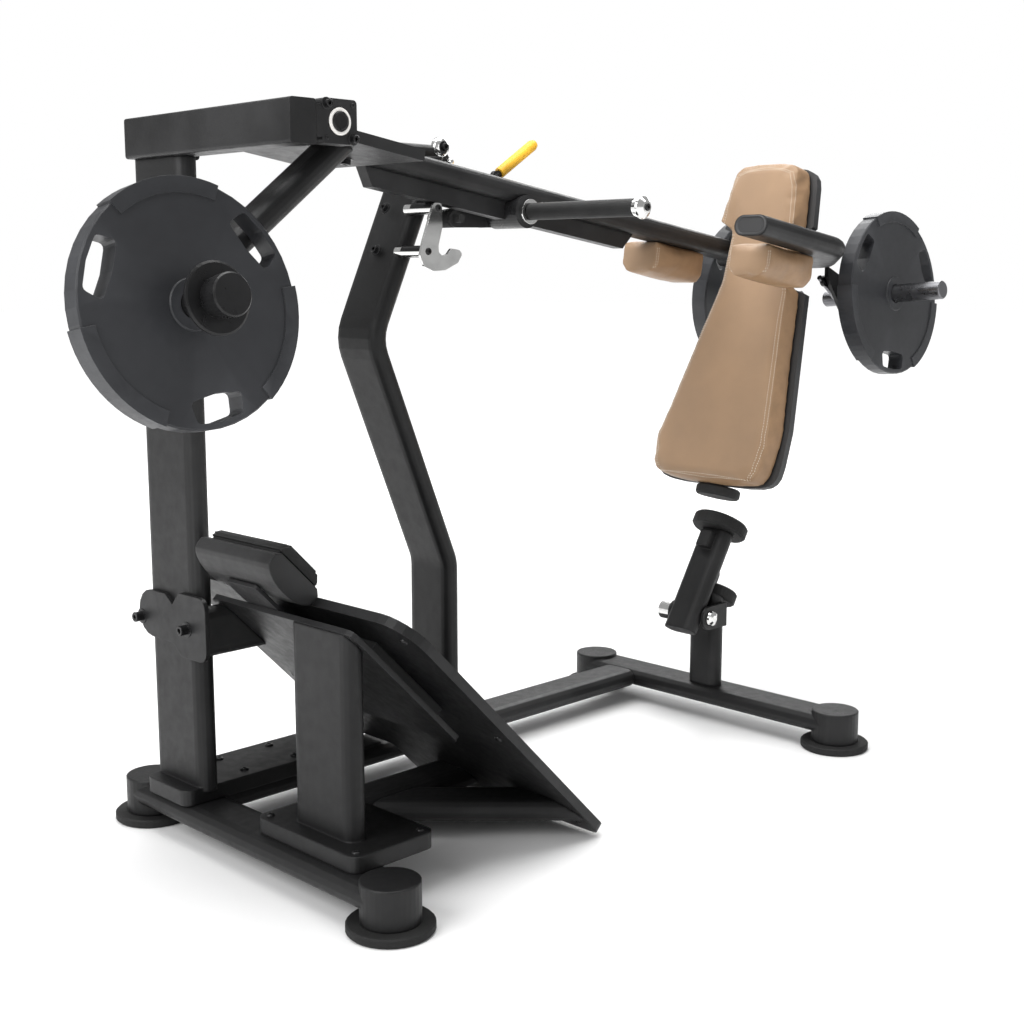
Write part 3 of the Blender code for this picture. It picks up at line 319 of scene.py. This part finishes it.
def tube(name, points, radius, body, material, sides=12):
    """Round bar along a smooth path."""
    bm = bmesh.new()
    points = [Vector(p) for p in points]
    rings = []
    reference = (points[1] - points[0]).orthogonal().normalized()
    for i, point in enumerate(points):
        along = (points[min(i + 1, len(points) - 1)] - points[max(i - 1, 0)]).normalized()
        first = (reference - along * reference.dot(along)).normalized()
        second = along.cross(first)
        rings.append([bm.verts.new(point + (first * math.cos(a) + second * math.sin(a)) * radius)
                      for a in (2 * math.pi * k / sides for k in range(sides))])
    for low, high in zip(rings, rings[1:]):
        for i in range(sides):
            j = (i + 1) % sides
            bm.faces.new((low[i], low[j], high[j], high[i]))
    bm.faces.new(rings[0][::-1])
    bm.faces.new(rings[-1])
    return finish(name, bm, material, body)


def bevelled_slab(name, corners, normal, depth, body, material, bevel=0.002):
    """Plate through corner points, extruded along normal, with rounded edges."""
    bm = bmesh.new()
    normal = Vector(normal).normalized()
    low = [bm.verts.new(Vector(c)) for c in corners]
    high = [bm.verts.new(Vector(c) + normal * depth) for c in corners]
    bm.faces.new(low[::-1])
    bm.faces.new(high)
    for i in range(len(low)):
        j = (i + 1) % len(low)
        bm.faces.new((low[i], low[j], high[j], high[i]))
    bmesh.ops.bevel(bm, geom=list(bm.edges), offset=bevel, segments=3, affect="EDGES", clamp_overlap=True)
    return finish(name, bm, material, body)


# ---------------------------------------------------------------- cushions

def plump(node, name, voxel, inset, cap, front, materials):
    """Cushion from a plain CAD pad: remeshed, shrunk, blown up as cloth with its back held, then smoothed.

    front is the way the panel faces. Points behind the middle of the pad move less, towards its board."""
    source = bpy.data.objects[node]
    obj = bpy.data.objects.new(name, source.data.copy())
    bpy.context.scene.collection.objects.link(obj)
    bpy.context.view_layer.objects.active = obj
    front = Vector(front).normalized()
    remesh = obj.modifiers.new("remesh", "REMESH")
    remesh.mode = "VOXEL"
    remesh.voxel_size = voxel
    bake(obj)
    soften(obj, 4)
    mesh = obj.data
    reach = [v.co.dot(front) for v in mesh.vertices]
    low, high = min(reach), max(reach)
    for vertex, normal in zip(mesh.vertices, [v.normal.copy() for v in mesh.vertices]):
        share = (vertex.co.dot(front) - low) / (high - low)
        vertex.co -= normal * inset * min(1.0, 0.25 + 1.5 * share)
    start = [v.co.copy() for v in mesh.vertices]
    held = obj.vertex_groups.new(name="held")
    for i, co in enumerate(start):
        share = (co.dot(front) - low) / (high - low)
        held.add([i], 1.0 if share < 0.12 else 0.0, "REPLACE")
    cloth = obj.modifiers.new("cloth", "CLOTH")
    cloth.settings.vertex_group_mass = "held"
    cloth.settings.use_pressure = True
    cloth.settings.uniform_pressure_force = 2.6
    cloth.settings.tension_stiffness = 15.0
    cloth.settings.bending_stiffness = 3.0
    cloth.settings.effector_weights.gravity = 0.0
    cloth.point_cache.frame_start, cloth.point_cache.frame_end = 1, 20
    for step in range(1, 21):
        bpy.context.scene.frame_set(step)
    shape = [v.co.copy() for v in
             obj.evaluated_get(bpy.context.evaluated_depsgraph_get()).data.vertices]
    obj.modifiers.clear()
    bpy.context.scene.frame_set(1)
    for vertex, here, there in zip(mesh.vertices, start, shape):
        move = there - here
        if move.length > cap:
            move *= cap / move.length
        vertex.co = here + move
    soften(obj, 7)
    subdivide = obj.modifiers.new("subdivide", "SUBSURF")
    subdivide.levels = subdivide.render_levels = 1
    bake(obj)
    mesh = obj.data
    mesh.materials.clear()
    for material in materials:
        mesh.materials.append(material)
    for face in mesh.polygons:
        face.material_index = 0 if face.normal.dot(front) > 0.62 else 1
    mesh.shade_smooth()
    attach(obj, "arm")
    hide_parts(node)
    return obj


def bake(obj):
    """Replace the mesh by what its modifiers make of it."""
    graph = bpy.context.evaluated_depsgraph_get()
    mesh = bpy.data.meshes.new_from_object(obj.evaluated_get(graph))
    obj.modifiers.clear()
    obj.data = mesh


def soften(obj, rounds):
    bm = bmesh.new()
    bm.from_mesh(obj.data)
    for _ in range(rounds):
        bmesh.ops.smooth_vert(bm, verts=bm.verts, factor=0.5, use_axis_x=True, use_axis_y=True,
                              use_axis_z=True)
    bm.to_mesh(obj.data)
    bm.free()


def stitches(name, lines, cushion, toward, body, material):
    """Rows of short thread stitches laid on the cushion. Each line is a list of points in front of it."""
    tree = BVHTree.FromObject(cushion, bpy.context.evaluated_depsgraph_get())
    bm = bmesh.new()
    toward = Vector(toward).normalized()
    for line in lines:
        points = [Vector(p) for p in line]
        spare = 0.0
        for start, end in zip(points, points[1:]):
            run = (end - start).length
            along = (end - start).normalized()
            travel = spare
            while travel < run - STITCH_LENGTH:
                ends = []
                for reach in (travel, travel + STITCH_LENGTH):
                    hit = tree.ray_cast(start + along * reach - toward * 0.05, toward, 0.2)[0]
                    if hit:
                        ends.append(hit)
                if len(ends) == 2:
                    add_stitch(bm, ends[0], ends[1], toward)
                travel += STITCH_PITCH
            spare = max(0.0, travel - run)
    return finish(name, bm, material, body, 60)


def add_stitch(bm, start, end, toward):
    """One thread stitch: a five-sided sausage that dips in at both ends."""
    along = (end - start).normalized()
    side = along.cross(toward).normalized()
    rings = []
    for share, width, lift in ((0.0, 0.35, -0.6), (0.25, 0.9, 0.35), (0.75, 0.9, 0.35), (1.0, 0.35, -0.6)):
        centre = start.lerp(end, share) - toward * lift * STITCH_RADIUS
        rings.append([bm.verts.new(centre + (side * math.cos(a) + toward * math.sin(a)) * STITCH_RADIUS
                                   * width) for a in (2 * math.pi * k / 5 for k in range(5))])
    for low, high in zip(rings, rings[1:]):
        for i in range(5):
            j = (i + 1) % 5
            bm.faces.new((low[i], low[j], high[j], high[i]))
    bm.faces.new(rings[0][::-1])
    bm.faces.new(rings[-1])


def middle(node):
    low, high = (Vector(c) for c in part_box(node))
    return (low + high) / 2


# ---------------------------------------------------------------- the machine

def dress_frame(mats):
    """Better materials for the CAD nodes that stay."""
    by_slot = {"frame_black": "coat", "black_rubber": "rubber", "chrome": "chrome", "dark_steel": "steel",
               "plate_grey": "plate", "tan_vinyl": "side", "board_grey": "board", "yellow_grip": "yellow"}
    for entry in frame["record"]["subparts"]:
        obj = bpy.data.objects[entry["node"]]
        material = mats[by_slot[entry["material_slot"]]]
        if not obj.material_slots:
            obj.data.materials.append(material)
        for slot in obj.material_slots:
            slot.material = material
    for node in ("near_post", "rear_upright", "bent_column", "main_arm_tube", "shoulder_yoke", "long_rail",
                 "rear_crossbeam", "front_crossbeam", "counterweight_lever", "link_tube", "stop_tube",
                 "stop_post", "footplate_stringer", "footplate_strut", "footplate_bracket",
                 "calf_pad_shell"):
        bpy.data.objects[node].material_slots[0].material = mats["coat_wide"]
    for node in ("counterweight_cap", "handle_collar"):
        bpy.data.objects[node].material_slots[0].material = mats["gloss"]
    bpy.data.objects["handle_grip"].material_slots[0].material = mats["grip"]


def cushions(mats):
    along = Vector((math.sin(PAD_TILT), 0, math.cos(PAD_TILT)))
    back = LATERAL.cross(along)
    vinyl = mats["weave"], mats["side"]
    pad = plump("back_pad", "back_cushion", 0.0055, 0.004, 0.010, -back, vinyl)
    low = Vector(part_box("back_pad")[0])
    foot = Vector((low.x, 0, low.z + 0.0195))
    edge = ((0.016, 0.152), (0.040, 0.170), (0.110, 0.180), (0.170, 0.179), (0.325, 0.162), (0.545, 0.142))
    head = ((0.725, 0.122), (0.840, 0.106), (0.876, 0.092), (0.886, 0.060))
    lines = []
    for inset in (0.0, 0.0075):
        for sign, waist in ((1, 0.071), (-1, 0.117)):
            # The far side of the pad runs straight from its lower corner to the waist.
            side = [(y - inset, s) for s, y in edge if sign < 0 or s < 0.150]
            side += [(waist - inset, 0.572), (waist - inset, 0.700)]
            side += [(y - inset, s - inset * 0.4) for s, y in head]
            side = [(0.0, 0.012 + inset)] + side + [(0.0, 0.893 - inset)]
            lines.append([foot + LATERAL * sign * y + along * s - back * 0.05 for y, s in side])
    stitches("back_stitching", lines, pad, back, "arm", mats["thread"])
    for label in ("near", "far"):
        node = f"shoulder_pad_{label}"
        cushion = plump(node, f"shoulder_cushion_{label}", 0.0045, 0.003, 0.007, -ARM_AXIS, vinyl)
        low, high = (Vector(c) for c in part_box(node))
        for sign, face, y in ((1, "far", high.y), (-1, "near", low.y)):
            lines = []
            for inset in (0.012, 0.018):
                start = Vector((low.x + inset + 0.006, y, high.z - 0.018))
                lines.append([start, start - ARM_NORMAL * 0.058])
            stitches(f"shoulder_stitching_{label}_{face}", lines, cushion, LATERAL * -sign, "arm",
                     mats["thread"])


def calf_pad(mats):
    """Dense rubber pad with softened edges in place of the plain hexagonal block."""
    source = bpy.data.objects["calf_pad_top"]
    bm = bmesh.new()
    bm.from_mesh(source.data)
    bmesh.ops.remove_doubles(bm, verts=bm.verts, dist=0.0001)
    bmesh.ops.dissolve_limit(bm, angle_limit=0.02, verts=bm.verts, edges=bm.edges)
    bmesh.ops.bevel(bm, geom=list(bm.edges), offset=0.006, segments=4, affect="EDGES", clamp_overlap=True)
    piece = finish("calf_cushion", bm, mats["rubber"], "frame", 60)
    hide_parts("calf_pad_top")


def fasteners(mats):
    black, bright = (mats["gloss"], "dark_steel"), (mats["chrome"], "chrome")
    low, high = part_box("clamp_plate")
    z = (low[2] + high[2]) / 2 - 0.006
    bolts("clamp_bolts", socket_bolt,
          [((low[0], y, z), (-1, 0, 0)) for y in (low[1] + 0.072, high[1] - 0.010)],
          "frame", *black, radius=0.011, height=0.020)
    footplate_screws(black)
    screw_height = 0.1280  # top of the base plates
    low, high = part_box("near_post")
    bolts("post_screws", button_bolt,
          [((low[0] + dx, y, screw_height), UP) for dx in (0.022, 0.188)
           for y in (low[1] + 0.022, high[1] - 0.022)], "frame", *black, radius=0.009)
    low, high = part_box("rear_upright")
    bolts("upright_screws", button_bolt,
          [((high[0] - dx, y, screw_height), UP) for dx in (0.030, 0.170, 0.310)
           for y in (low[1] + 0.045, high[1] - 0.045)], "frame", *black, radius=0.010)
    shell = middle("calf_pad_shell") - PLATE_OUT * 0.0285 + PLATE_DOWN * 0.012
    bolts("calf_screws", button_bolt, [(shell + LATERAL * y, -PLATE_OUT) for y in (-0.078, 0.078)],
          "frame", *bright, radius=0.008)
    low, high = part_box("hook_plate")
    spacers = [(low[0] + dx, low[1], high[2] - dz) for dx, dz in ((0.0567, 0.0125), (0.0256, 0.1115))]
    bolts("hook_screws", button_bolt, [(p, NEAR) for p in spacers], "frame", *black, radius=0.0085)
    for label, (x, y, z) in zip(("upper", "lower"), spacers):
        turned(f"hook_sleeve_{label}",
               ((0.0128, 0.0), (0.0138, 0.0008), (0.0138, 0.0780), (0.0128, 0.0788)),
               (x, y + 0.0062, z), LATERAL, "frame", *black)
    bolts("column_bolts", socket_bolt,
          [((x - 0.022, 0.279, z + 0.004), (-0.9, 0, 0.42)) for x, _, z in spacers],
          "frame", *black, radius=0.009, height=0.010)
    low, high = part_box("hub_plate")
    spot = Vector((high[0] - 0.070, 0.0, low[2] + 0.0105))
    bolts("hub_plate_bolt", socket_bolt,
          [(spot, -ARM_NORMAL), (spot + Vector((-0.07, 0, 0.0103)), -ARM_NORMAL)],
          "arm", *black, radius=0.011, height=0.013)
    cap = middle("handle_cap")
    cap.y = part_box("handle_cap")[0][1] + 0.0005
    bolts("handle_cap_socket", button_bolt, [(cap, NEAR)], "handle", *black, radius=0.009)


def footplate_screws(black):
    """Screws down both edges of the footplate, and their ends on its front. The last far one is hidden."""
    low, high = (Vector(c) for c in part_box("footplate"))
    thickness = 0.0212
    corner = Vector((-0.205 - CENTRE_X - high.z, 0, high.z))  # X + Z stays the same down the front
    spots = []
    for run in (0.055, 0.415, 0.765):
        for y in (low.y + 0.043, -low.y - 0.047):
            spots.append(corner + LATERAL * y + PLATE_DOWN * run - PLATE_OUT * thickness)
    spots = spots[:5]
    bolts("footplate_screws", button_bolt, [(p, -PLATE_OUT) for p in spots], "frame", *black, radius=0.009)
    bolts("footplate_screws_front", button_bolt, [(p + PLATE_OUT * thickness, PLATE_OUT) for p in spots],
          "frame", *black, radius=0.009)


def bearings(mats):
    """White seal ring and set screws on the near housing, plain caps on both shaft ends."""
    pivot = Vector(frame_joint("arm_swing"))
    centre = Vector((pivot.x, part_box("bearing_near")[0][1], pivot.z))
    turned("bearing_ring", ((0.0190, 0.0005), (0.0190, 0.0022), (0.0205, 0.0030), (0.0240, 0.0030),
                            (0.0255, 0.0020), (0.0255, 0.0)), centre, NEAR, "frame", mats["white"], "chrome")
    turned("shaft_cap", ((0.0187, 0.0), (0.0187, 0.0045), (0.0172, 0.0060), (0.0150, 0.0060), (0.0142, 0.0048),
                         (0, 0.0044)), centre, NEAR, "arm", mats["gloss"], "frame_black")
    far = Vector((pivot.x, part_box("bearing_far")[1][1], pivot.z))
    turned("bearing_cover", ((0.0300, 0.0), (0.0300, 0.0060), (0.0280, 0.0080), (0.0060, 0.0080),
                             (0.0050, 0.0070), (0, 0.0070)), far, LATERAL, "frame", mats["gloss"],
           "frame_black")
    corners = [centre + Vector((x, 0, -x)) for x in (-0.031, 0.031)]
    bolts("bearing_bolts", socket_bolt, [(c, NEAR) for c in corners], "frame", mats["gloss"], "dark_steel",
          radius=0.0075, height=0.012)
    studs = [centre + Vector((x, 0, x)) for x in (-0.031, 0.031)]
    bolts("bearing_screws", button_bolt, [(c, NEAR) for c in studs], "frame", mats["gloss"], "dark_steel",
          radius=0.0045)


def frame_joint(name):
    joint = [j for j in frame["record"]["behaviour"]["joints"] if j["name"] == name][0]
    return joint["pos_m"]


def link_trim(mats):
    """Bright ring and black screw at the link tube's end, with the small bracket and its pin below."""
    low, high = (Vector(c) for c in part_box("link_tube"))
    end = Vector((high.x + 0.014, low.y, high.z - 0.006))
    turned("link_ring", ((0, 0.010), (0.0120, 0.010), (0.0225, 0.004), (0.0245, 0.0), (0.0245, -0.010),
                         (0, -0.012)), end, NEAR, "frame", mats["chrome"], "chrome")
    bolts("link_ring_bolt", socket_bolt, [(end - LATERAL * 0.009, NEAR)], "frame", mats["gloss"], "dark_steel",
          radius=0.0095, height=0.010)
    outline = [(-0.012, -0.045), (0.030, -0.050), (0.046, -0.040), (0.048, -0.012), (0.030, 0.012),
               (0.0, 0.018), (-0.012, 0.010)]
    bevelled_slab("link_bracket", [(high.x + x, low.y + 0.004, low.z + 0.018 + z) for x, z in outline],
                  LATERAL, 0.012, "frame", mats["coat"], 0.003)
    pin = Vector((high.x + 0.040, low.y + 0.004, low.z - 0.004))
    turned("link_pin", ((0.0, 0.016), (0.006, 0.015), (0.0085, 0.011), (0.0090, 0.0), (0.0125, -0.001),
                        (0.0125, -0.004)), pin, NEAR, "frame", mats["chrome"], "chrome")


def counterweight_trim(mats):
    """Grey ring with plain ticks on the flange, and turned rings on the cap."""
    outward = Vector((0, -math.cos(COUNTERWEIGHT_TILT), math.sin(COUNTERWEIGHT_TILT)))
    centre = middle("counterweight_cap") - outward * 0.0275
    seat = centre + outward * 0.0092
    turned("flange_ring", ((0.0425, 0.0), (0.0425, 0.0006), (0.0430, 0.0009), (0.0600, 0.0009),
                           (0.0605, 0.0006), (0.0605, 0.0)), seat, outward, "arm", mats["ring"], "board_grey")
    bm = bmesh.new()
    basis = frame_of(outward)
    for k in range(36):
        if k % 9 in (0, 1):  # four gaps
            continue
        angle = 2 * math.pi * k / 36
        radial = basis @ Vector((math.cos(angle), math.sin(angle), 0))
        place = seat + radial * 0.0515 + outward * 0.0008
        tangent = outward.cross(radial)
        ring = [place + radial * a * 0.0040 + tangent * b * 0.0011
                for a, b in ((-1, -1), (1, -1), (1, 1), (-1, 1))]
        low = [bm.verts.new(p) for p in ring]
        high = [bm.verts.new(p + outward * 0.0004) for p in ring]
        bm.faces.new(high)
        for i in range(4):
            bm.faces.new((low[i], low[(i + 1) % 4], high[(i + 1) % 4], high[i]))
    finish("flange_marks", bm, mats["mark"], "arm")
    end = centre + outward * 0.0549
    turned("cap_rings", ((0.0300, 0.0), (0.0290, 0.0016), (0.0270, 0.0016), (0.0260, 0.0004),
                         (0.0215, 0.0004), (0.0205, 0.0014), (0.0185, 0.0014), (0.0175, 0.0003),
                         (0.0120, 0.0003), (0.0110, 0.0012), (0, 0.0012)), end, outward, "arm",
           mats["gloss"], "frame_black")


def arm_trim(mats):
    """End plug of the flat-oval shoulder tube."""
    low, high = (Vector(c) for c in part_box("shoulder_yoke"))
    end = Vector((low.x + 0.0038, low.y + 0.050, high.z - 0.0260))
    radius = 0.0235
    ring = []
    for side in (1, -1):
        for k in range(13):
            angle = -side * math.pi / 2 + math.pi * k / 12
            ring.append((radius * (side + math.cos(angle)), radius * math.sin(angle)))
    bm = bmesh.new()
    rows = []
    for scale, lift in ((1.0, 0.0), (1.0, 0.0018), (0.93, 0.0034), (0.86, 0.0030), (0.80, 0.0010)):
        rows.append([bm.verts.new(end + LATERAL * u * scale + ARM_NORMAL * v * scale - ARM_AXIS * lift)
                     for u, v in ring])
    for a, b in zip(rows, rows[1:]):
        for i in range(len(a)):
            j = (i + 1) % len(a)
            bm.faces.new((a[i], a[j], b[j], b[i]))
    bm.faces.new(rows[-1])
    finish("shoulder_tube_plug", bm, mats["board"], "arm")


def sticker(mats):
    """Blank label on the main tube's near side, with a small marker above it."""
    low, high = (Vector(c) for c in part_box("main_arm_tube"))
    radius, lifted = 0.0262, 0.0264  # of the tube's side, and of the label on it
    root = Vector((low.x + 0.170, low.y + radius, high.z - 0.0260 - 0.1477 * 0.155))
    for name, shift, length, width, turn, key in (("arm_label", 0.0, 0.070, 0.019, 0.0, "label"),
                                                  ("arm_marker", 0.024, 0.018, 0.006, 0.36, "mark")):
        bm = bmesh.new()
        rows = []
        for k in range(7):
            angle = math.radians(100) + k / 6 * width / radius - turn
            edge = root + (LATERAL * math.cos(angle) + ARM_NORMAL * math.sin(angle)) * lifted
            rows.append([bm.verts.new(edge + ARM_AXIS * (shift + length * share)) for share in (0.0, 0.5, 1.0)])
        for a, b in zip(rows, rows[1:]):
            for i in range(2):
                bm.faces.new((a[i], a[i + 1], b[i + 1], b[i]))
        finish(name, bm, mats[key], "arm")


def hidden_structure(mats):
    """Rods and boss between the board and the horn brackets."""
    for label, sign in (("near", -1), ("far", 1)):
        low, high = (Vector(c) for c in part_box(f"horn_bracket_{label}"))
        y = sign * 0.105
        start = Vector((low.x - 0.010, y, high.z - 0.030))
        end = Vector((low.x + 0.085, y, low.z + 0.040))
        tube(f"tie_rod_{label}", [start, start.lerp(end, 0.5), end], 0.0075, "arm", mats["steel"])
        boss = Vector((low.x + 0.010, sign * 0.1145, high.z - 0.040))
        turned(f"bracket_boss_{label}", ((0, 0.014), (0.013, 0.013), (0.016, 0.010), (0.016, -0.001)), boss,
               Vector((0, -sign, 0)), "arm", mats["gloss"], "frame_black")


def weld_beads(mats):
    """Rippled weld where each horn meets its bracket."""
    steps, sides, radius, reach = 72, 8, 0.0226, 0.1275
    for label, sign in (("near", -1), ("far", 1)):
        axis = Vector((0, sign * math.cos(HORN_TILT), math.sin(HORN_TILT)))
        place = Vector((1.137 - CENTRE_X, sign * reach, 1.1800 - (0.269 - reach) * math.tan(HORN_TILT)))
        bm = bmesh.new()
        basis = frame_of(axis)
        rings = []
        for k in range(steps):
            angle = 2 * math.pi * k / steps
            swell = 0.0030 + 0.0005 * math.sin(angle * 24)
            radial = basis @ Vector((math.cos(angle), math.sin(angle), 0))
            turns = [2 * math.pi * m / sides for m in range(sides)]
            rings.append([bm.verts.new(place + radial * (radius + swell * math.cos(b))
                                       + axis * swell * math.sin(b)) for b in turns])
        for k in range(steps):
            low, high = rings[k], rings[(k + 1) % steps]
            for m in range(sides):
                bm.faces.new((low[m], low[(m + 1) % sides], high[(m + 1) % sides], high[m]))
        finish(f"horn_weld_{label}", bm, mats["coat"], "arm", 60)


# ---------------------------------------------------------------- studio

def studio(mats):
    bm = bmesh.new()
    bmesh.ops.create_grid(bm, x_segments=1, y_segments=1, size=40)
    mesh = bpy.data.meshes.new("floor")
    bm.to_mesh(mesh)
    bm.free()
    mesh.materials.append(mats["floor"])
    floor = bpy.data.objects.new("floor", mesh)
    bpy.context.scene.collection.objects.link(floor)
    world = bpy.data.worlds.new("studio")
    world.use_nodes = True
    tree = world.node_tree
    tree.nodes["Background"].inputs["Color"].default_value = (1, 1, 1, 1)
    # The backdrop is white, and the light that it gives is softer than it looks.
    path = tree.nodes.new("ShaderNodeLightPath")
    level = tree.nodes.new("ShaderNodeMapRange")
    level.inputs["To Min"].default_value, level.inputs["To Max"].default_value = 0.40, 1.0
    tree.links.new(path.outputs["Is Camera Ray"], level.inputs["Value"])
    tree.links.new(level.outputs["Result"], tree.nodes["Background"].inputs["Strength"])
    bpy.context.scene.world = world
    bpy.context.scene.view_settings.view_transform = "Standard"
    for name, place, size, power in (("key", (-5.0, 0.2, 3.4), 3.5, 230), ("fill", (-0.5, -5.5, 2.2), 3.0, 26),
                                     ("rim", (3.6, 2.4, 3.4), 2.5, 80), ("top", (0.2, 0.4, 5.2), 5.0, 330)):
        light = bpy.data.lights.new(name, "AREA")
        light.size, light.energy = size, power
        obj = bpy.data.objects.new(name, light)
        obj.location = place
        obj.rotation_euler = (Vector((0, 0, 0.8)) - Vector(place)).to_track_quat("-Z", "Y").to_euler()
        bpy.context.scene.collection.objects.link(obj)


def camera():
    data = bpy.data.cameras.new("camera")
    data.sensor_width, data.lens = 36.0, CAMERA_LENS
    obj = bpy.data.objects.new("camera", data)
    obj.location = CAMERA_PLACE
    obj.rotation_euler = [math.radians(a) for a in CAMERA_TURN]
    bpy.context.scene.collection.objects.link(obj)
    bpy.context.scene.camera = obj


def floor_material():
    n = Nodes("floor_pale")
    n.link(n.ramp(n.noise(n.place(), 3.0), (0.86, 0.86, 0.86), (0.89, 0.89, 0.89)), "Base Color")
    n.shader.inputs["Roughness"].default_value = 0.6
    # The floor glows a little away from the object, where the lamps no longer reach it.
    away = n.add("ShaderNodeVectorMath", {0: n.place()}, operation="LENGTH").outputs["Value"]
    n.link(n.ramp(away, 0.0, 0.75, 2.0, 5.0), "Emission Strength")
    n.shader.inputs["Emission Color"].default_value = (1, 1, 1, 1)
    return n.material


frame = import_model()
materials = {
    "coat": powder_coat("powder_coat", (0.0060, 0.0060, 0.0064), 0.42),
    "coat_wide": powder_coat("powder_coat_tubes", (0.0062, 0.0062, 0.0065), 0.43, 0.00025, 0.0065),
    "gloss": powder_coat("black_oxide", (0.007, 0.007, 0.0075), 0.30, 0.00006, 0.0006),
    "plate": powder_coat("plate_paint", (0.026, 0.027, 0.030), 0.38, 0.00012, 0.0016),
    "rubber": rubber("rubber_black", (0.009, 0.009, 0.009)),
    "grip": rubber("grip_rubber", (0.007, 0.007, 0.007), 0.6),
    "yellow": rubber("grip_yellow", (0.80, 0.44, 0.03), 0.45),
    "chrome": metal("chrome_plate", (0.82, 0.82, 0.81), 0.10),
    "steel": metal("turned_steel", (0.20, 0.20, 0.21), 0.28, 0.00006),
    "weave": woven_vinyl("tan_weave", (0.33, 0.205, 0.112), -PAD_TILT),
    "side": grained_vinyl("tan_side", (0.30, 0.182, 0.096)),
    "thread": thread("pale_thread", (0.86, 0.80, 0.70)),
    "board": plain_plastic("board_black", (0.030, 0.030, 0.031), 0.5),
    "white": plain_plastic("seal_white", (0.85, 0.83, 0.80), 0.4),
    "ring": plain_plastic("ring_grey", (0.20, 0.20, 0.20), 0.4),
    "mark": plain_plastic("mark_yellow", (0.66, 0.56, 0.12), 0.5),
    "label": plain_plastic("label_grey", (0.42, 0.42, 0.42), 0.35),
    "floor": floor_material(),
}
dress_frame(materials)
cushions(materials)
calf_pad(materials)
fasteners(materials)
bearings(materials)
link_trim(materials)
counterweight_trim(materials)
arm_trim(materials)
sticker(materials)
hidden_structure(materials)
weld_beads(materials)
studio(materials)
camera()
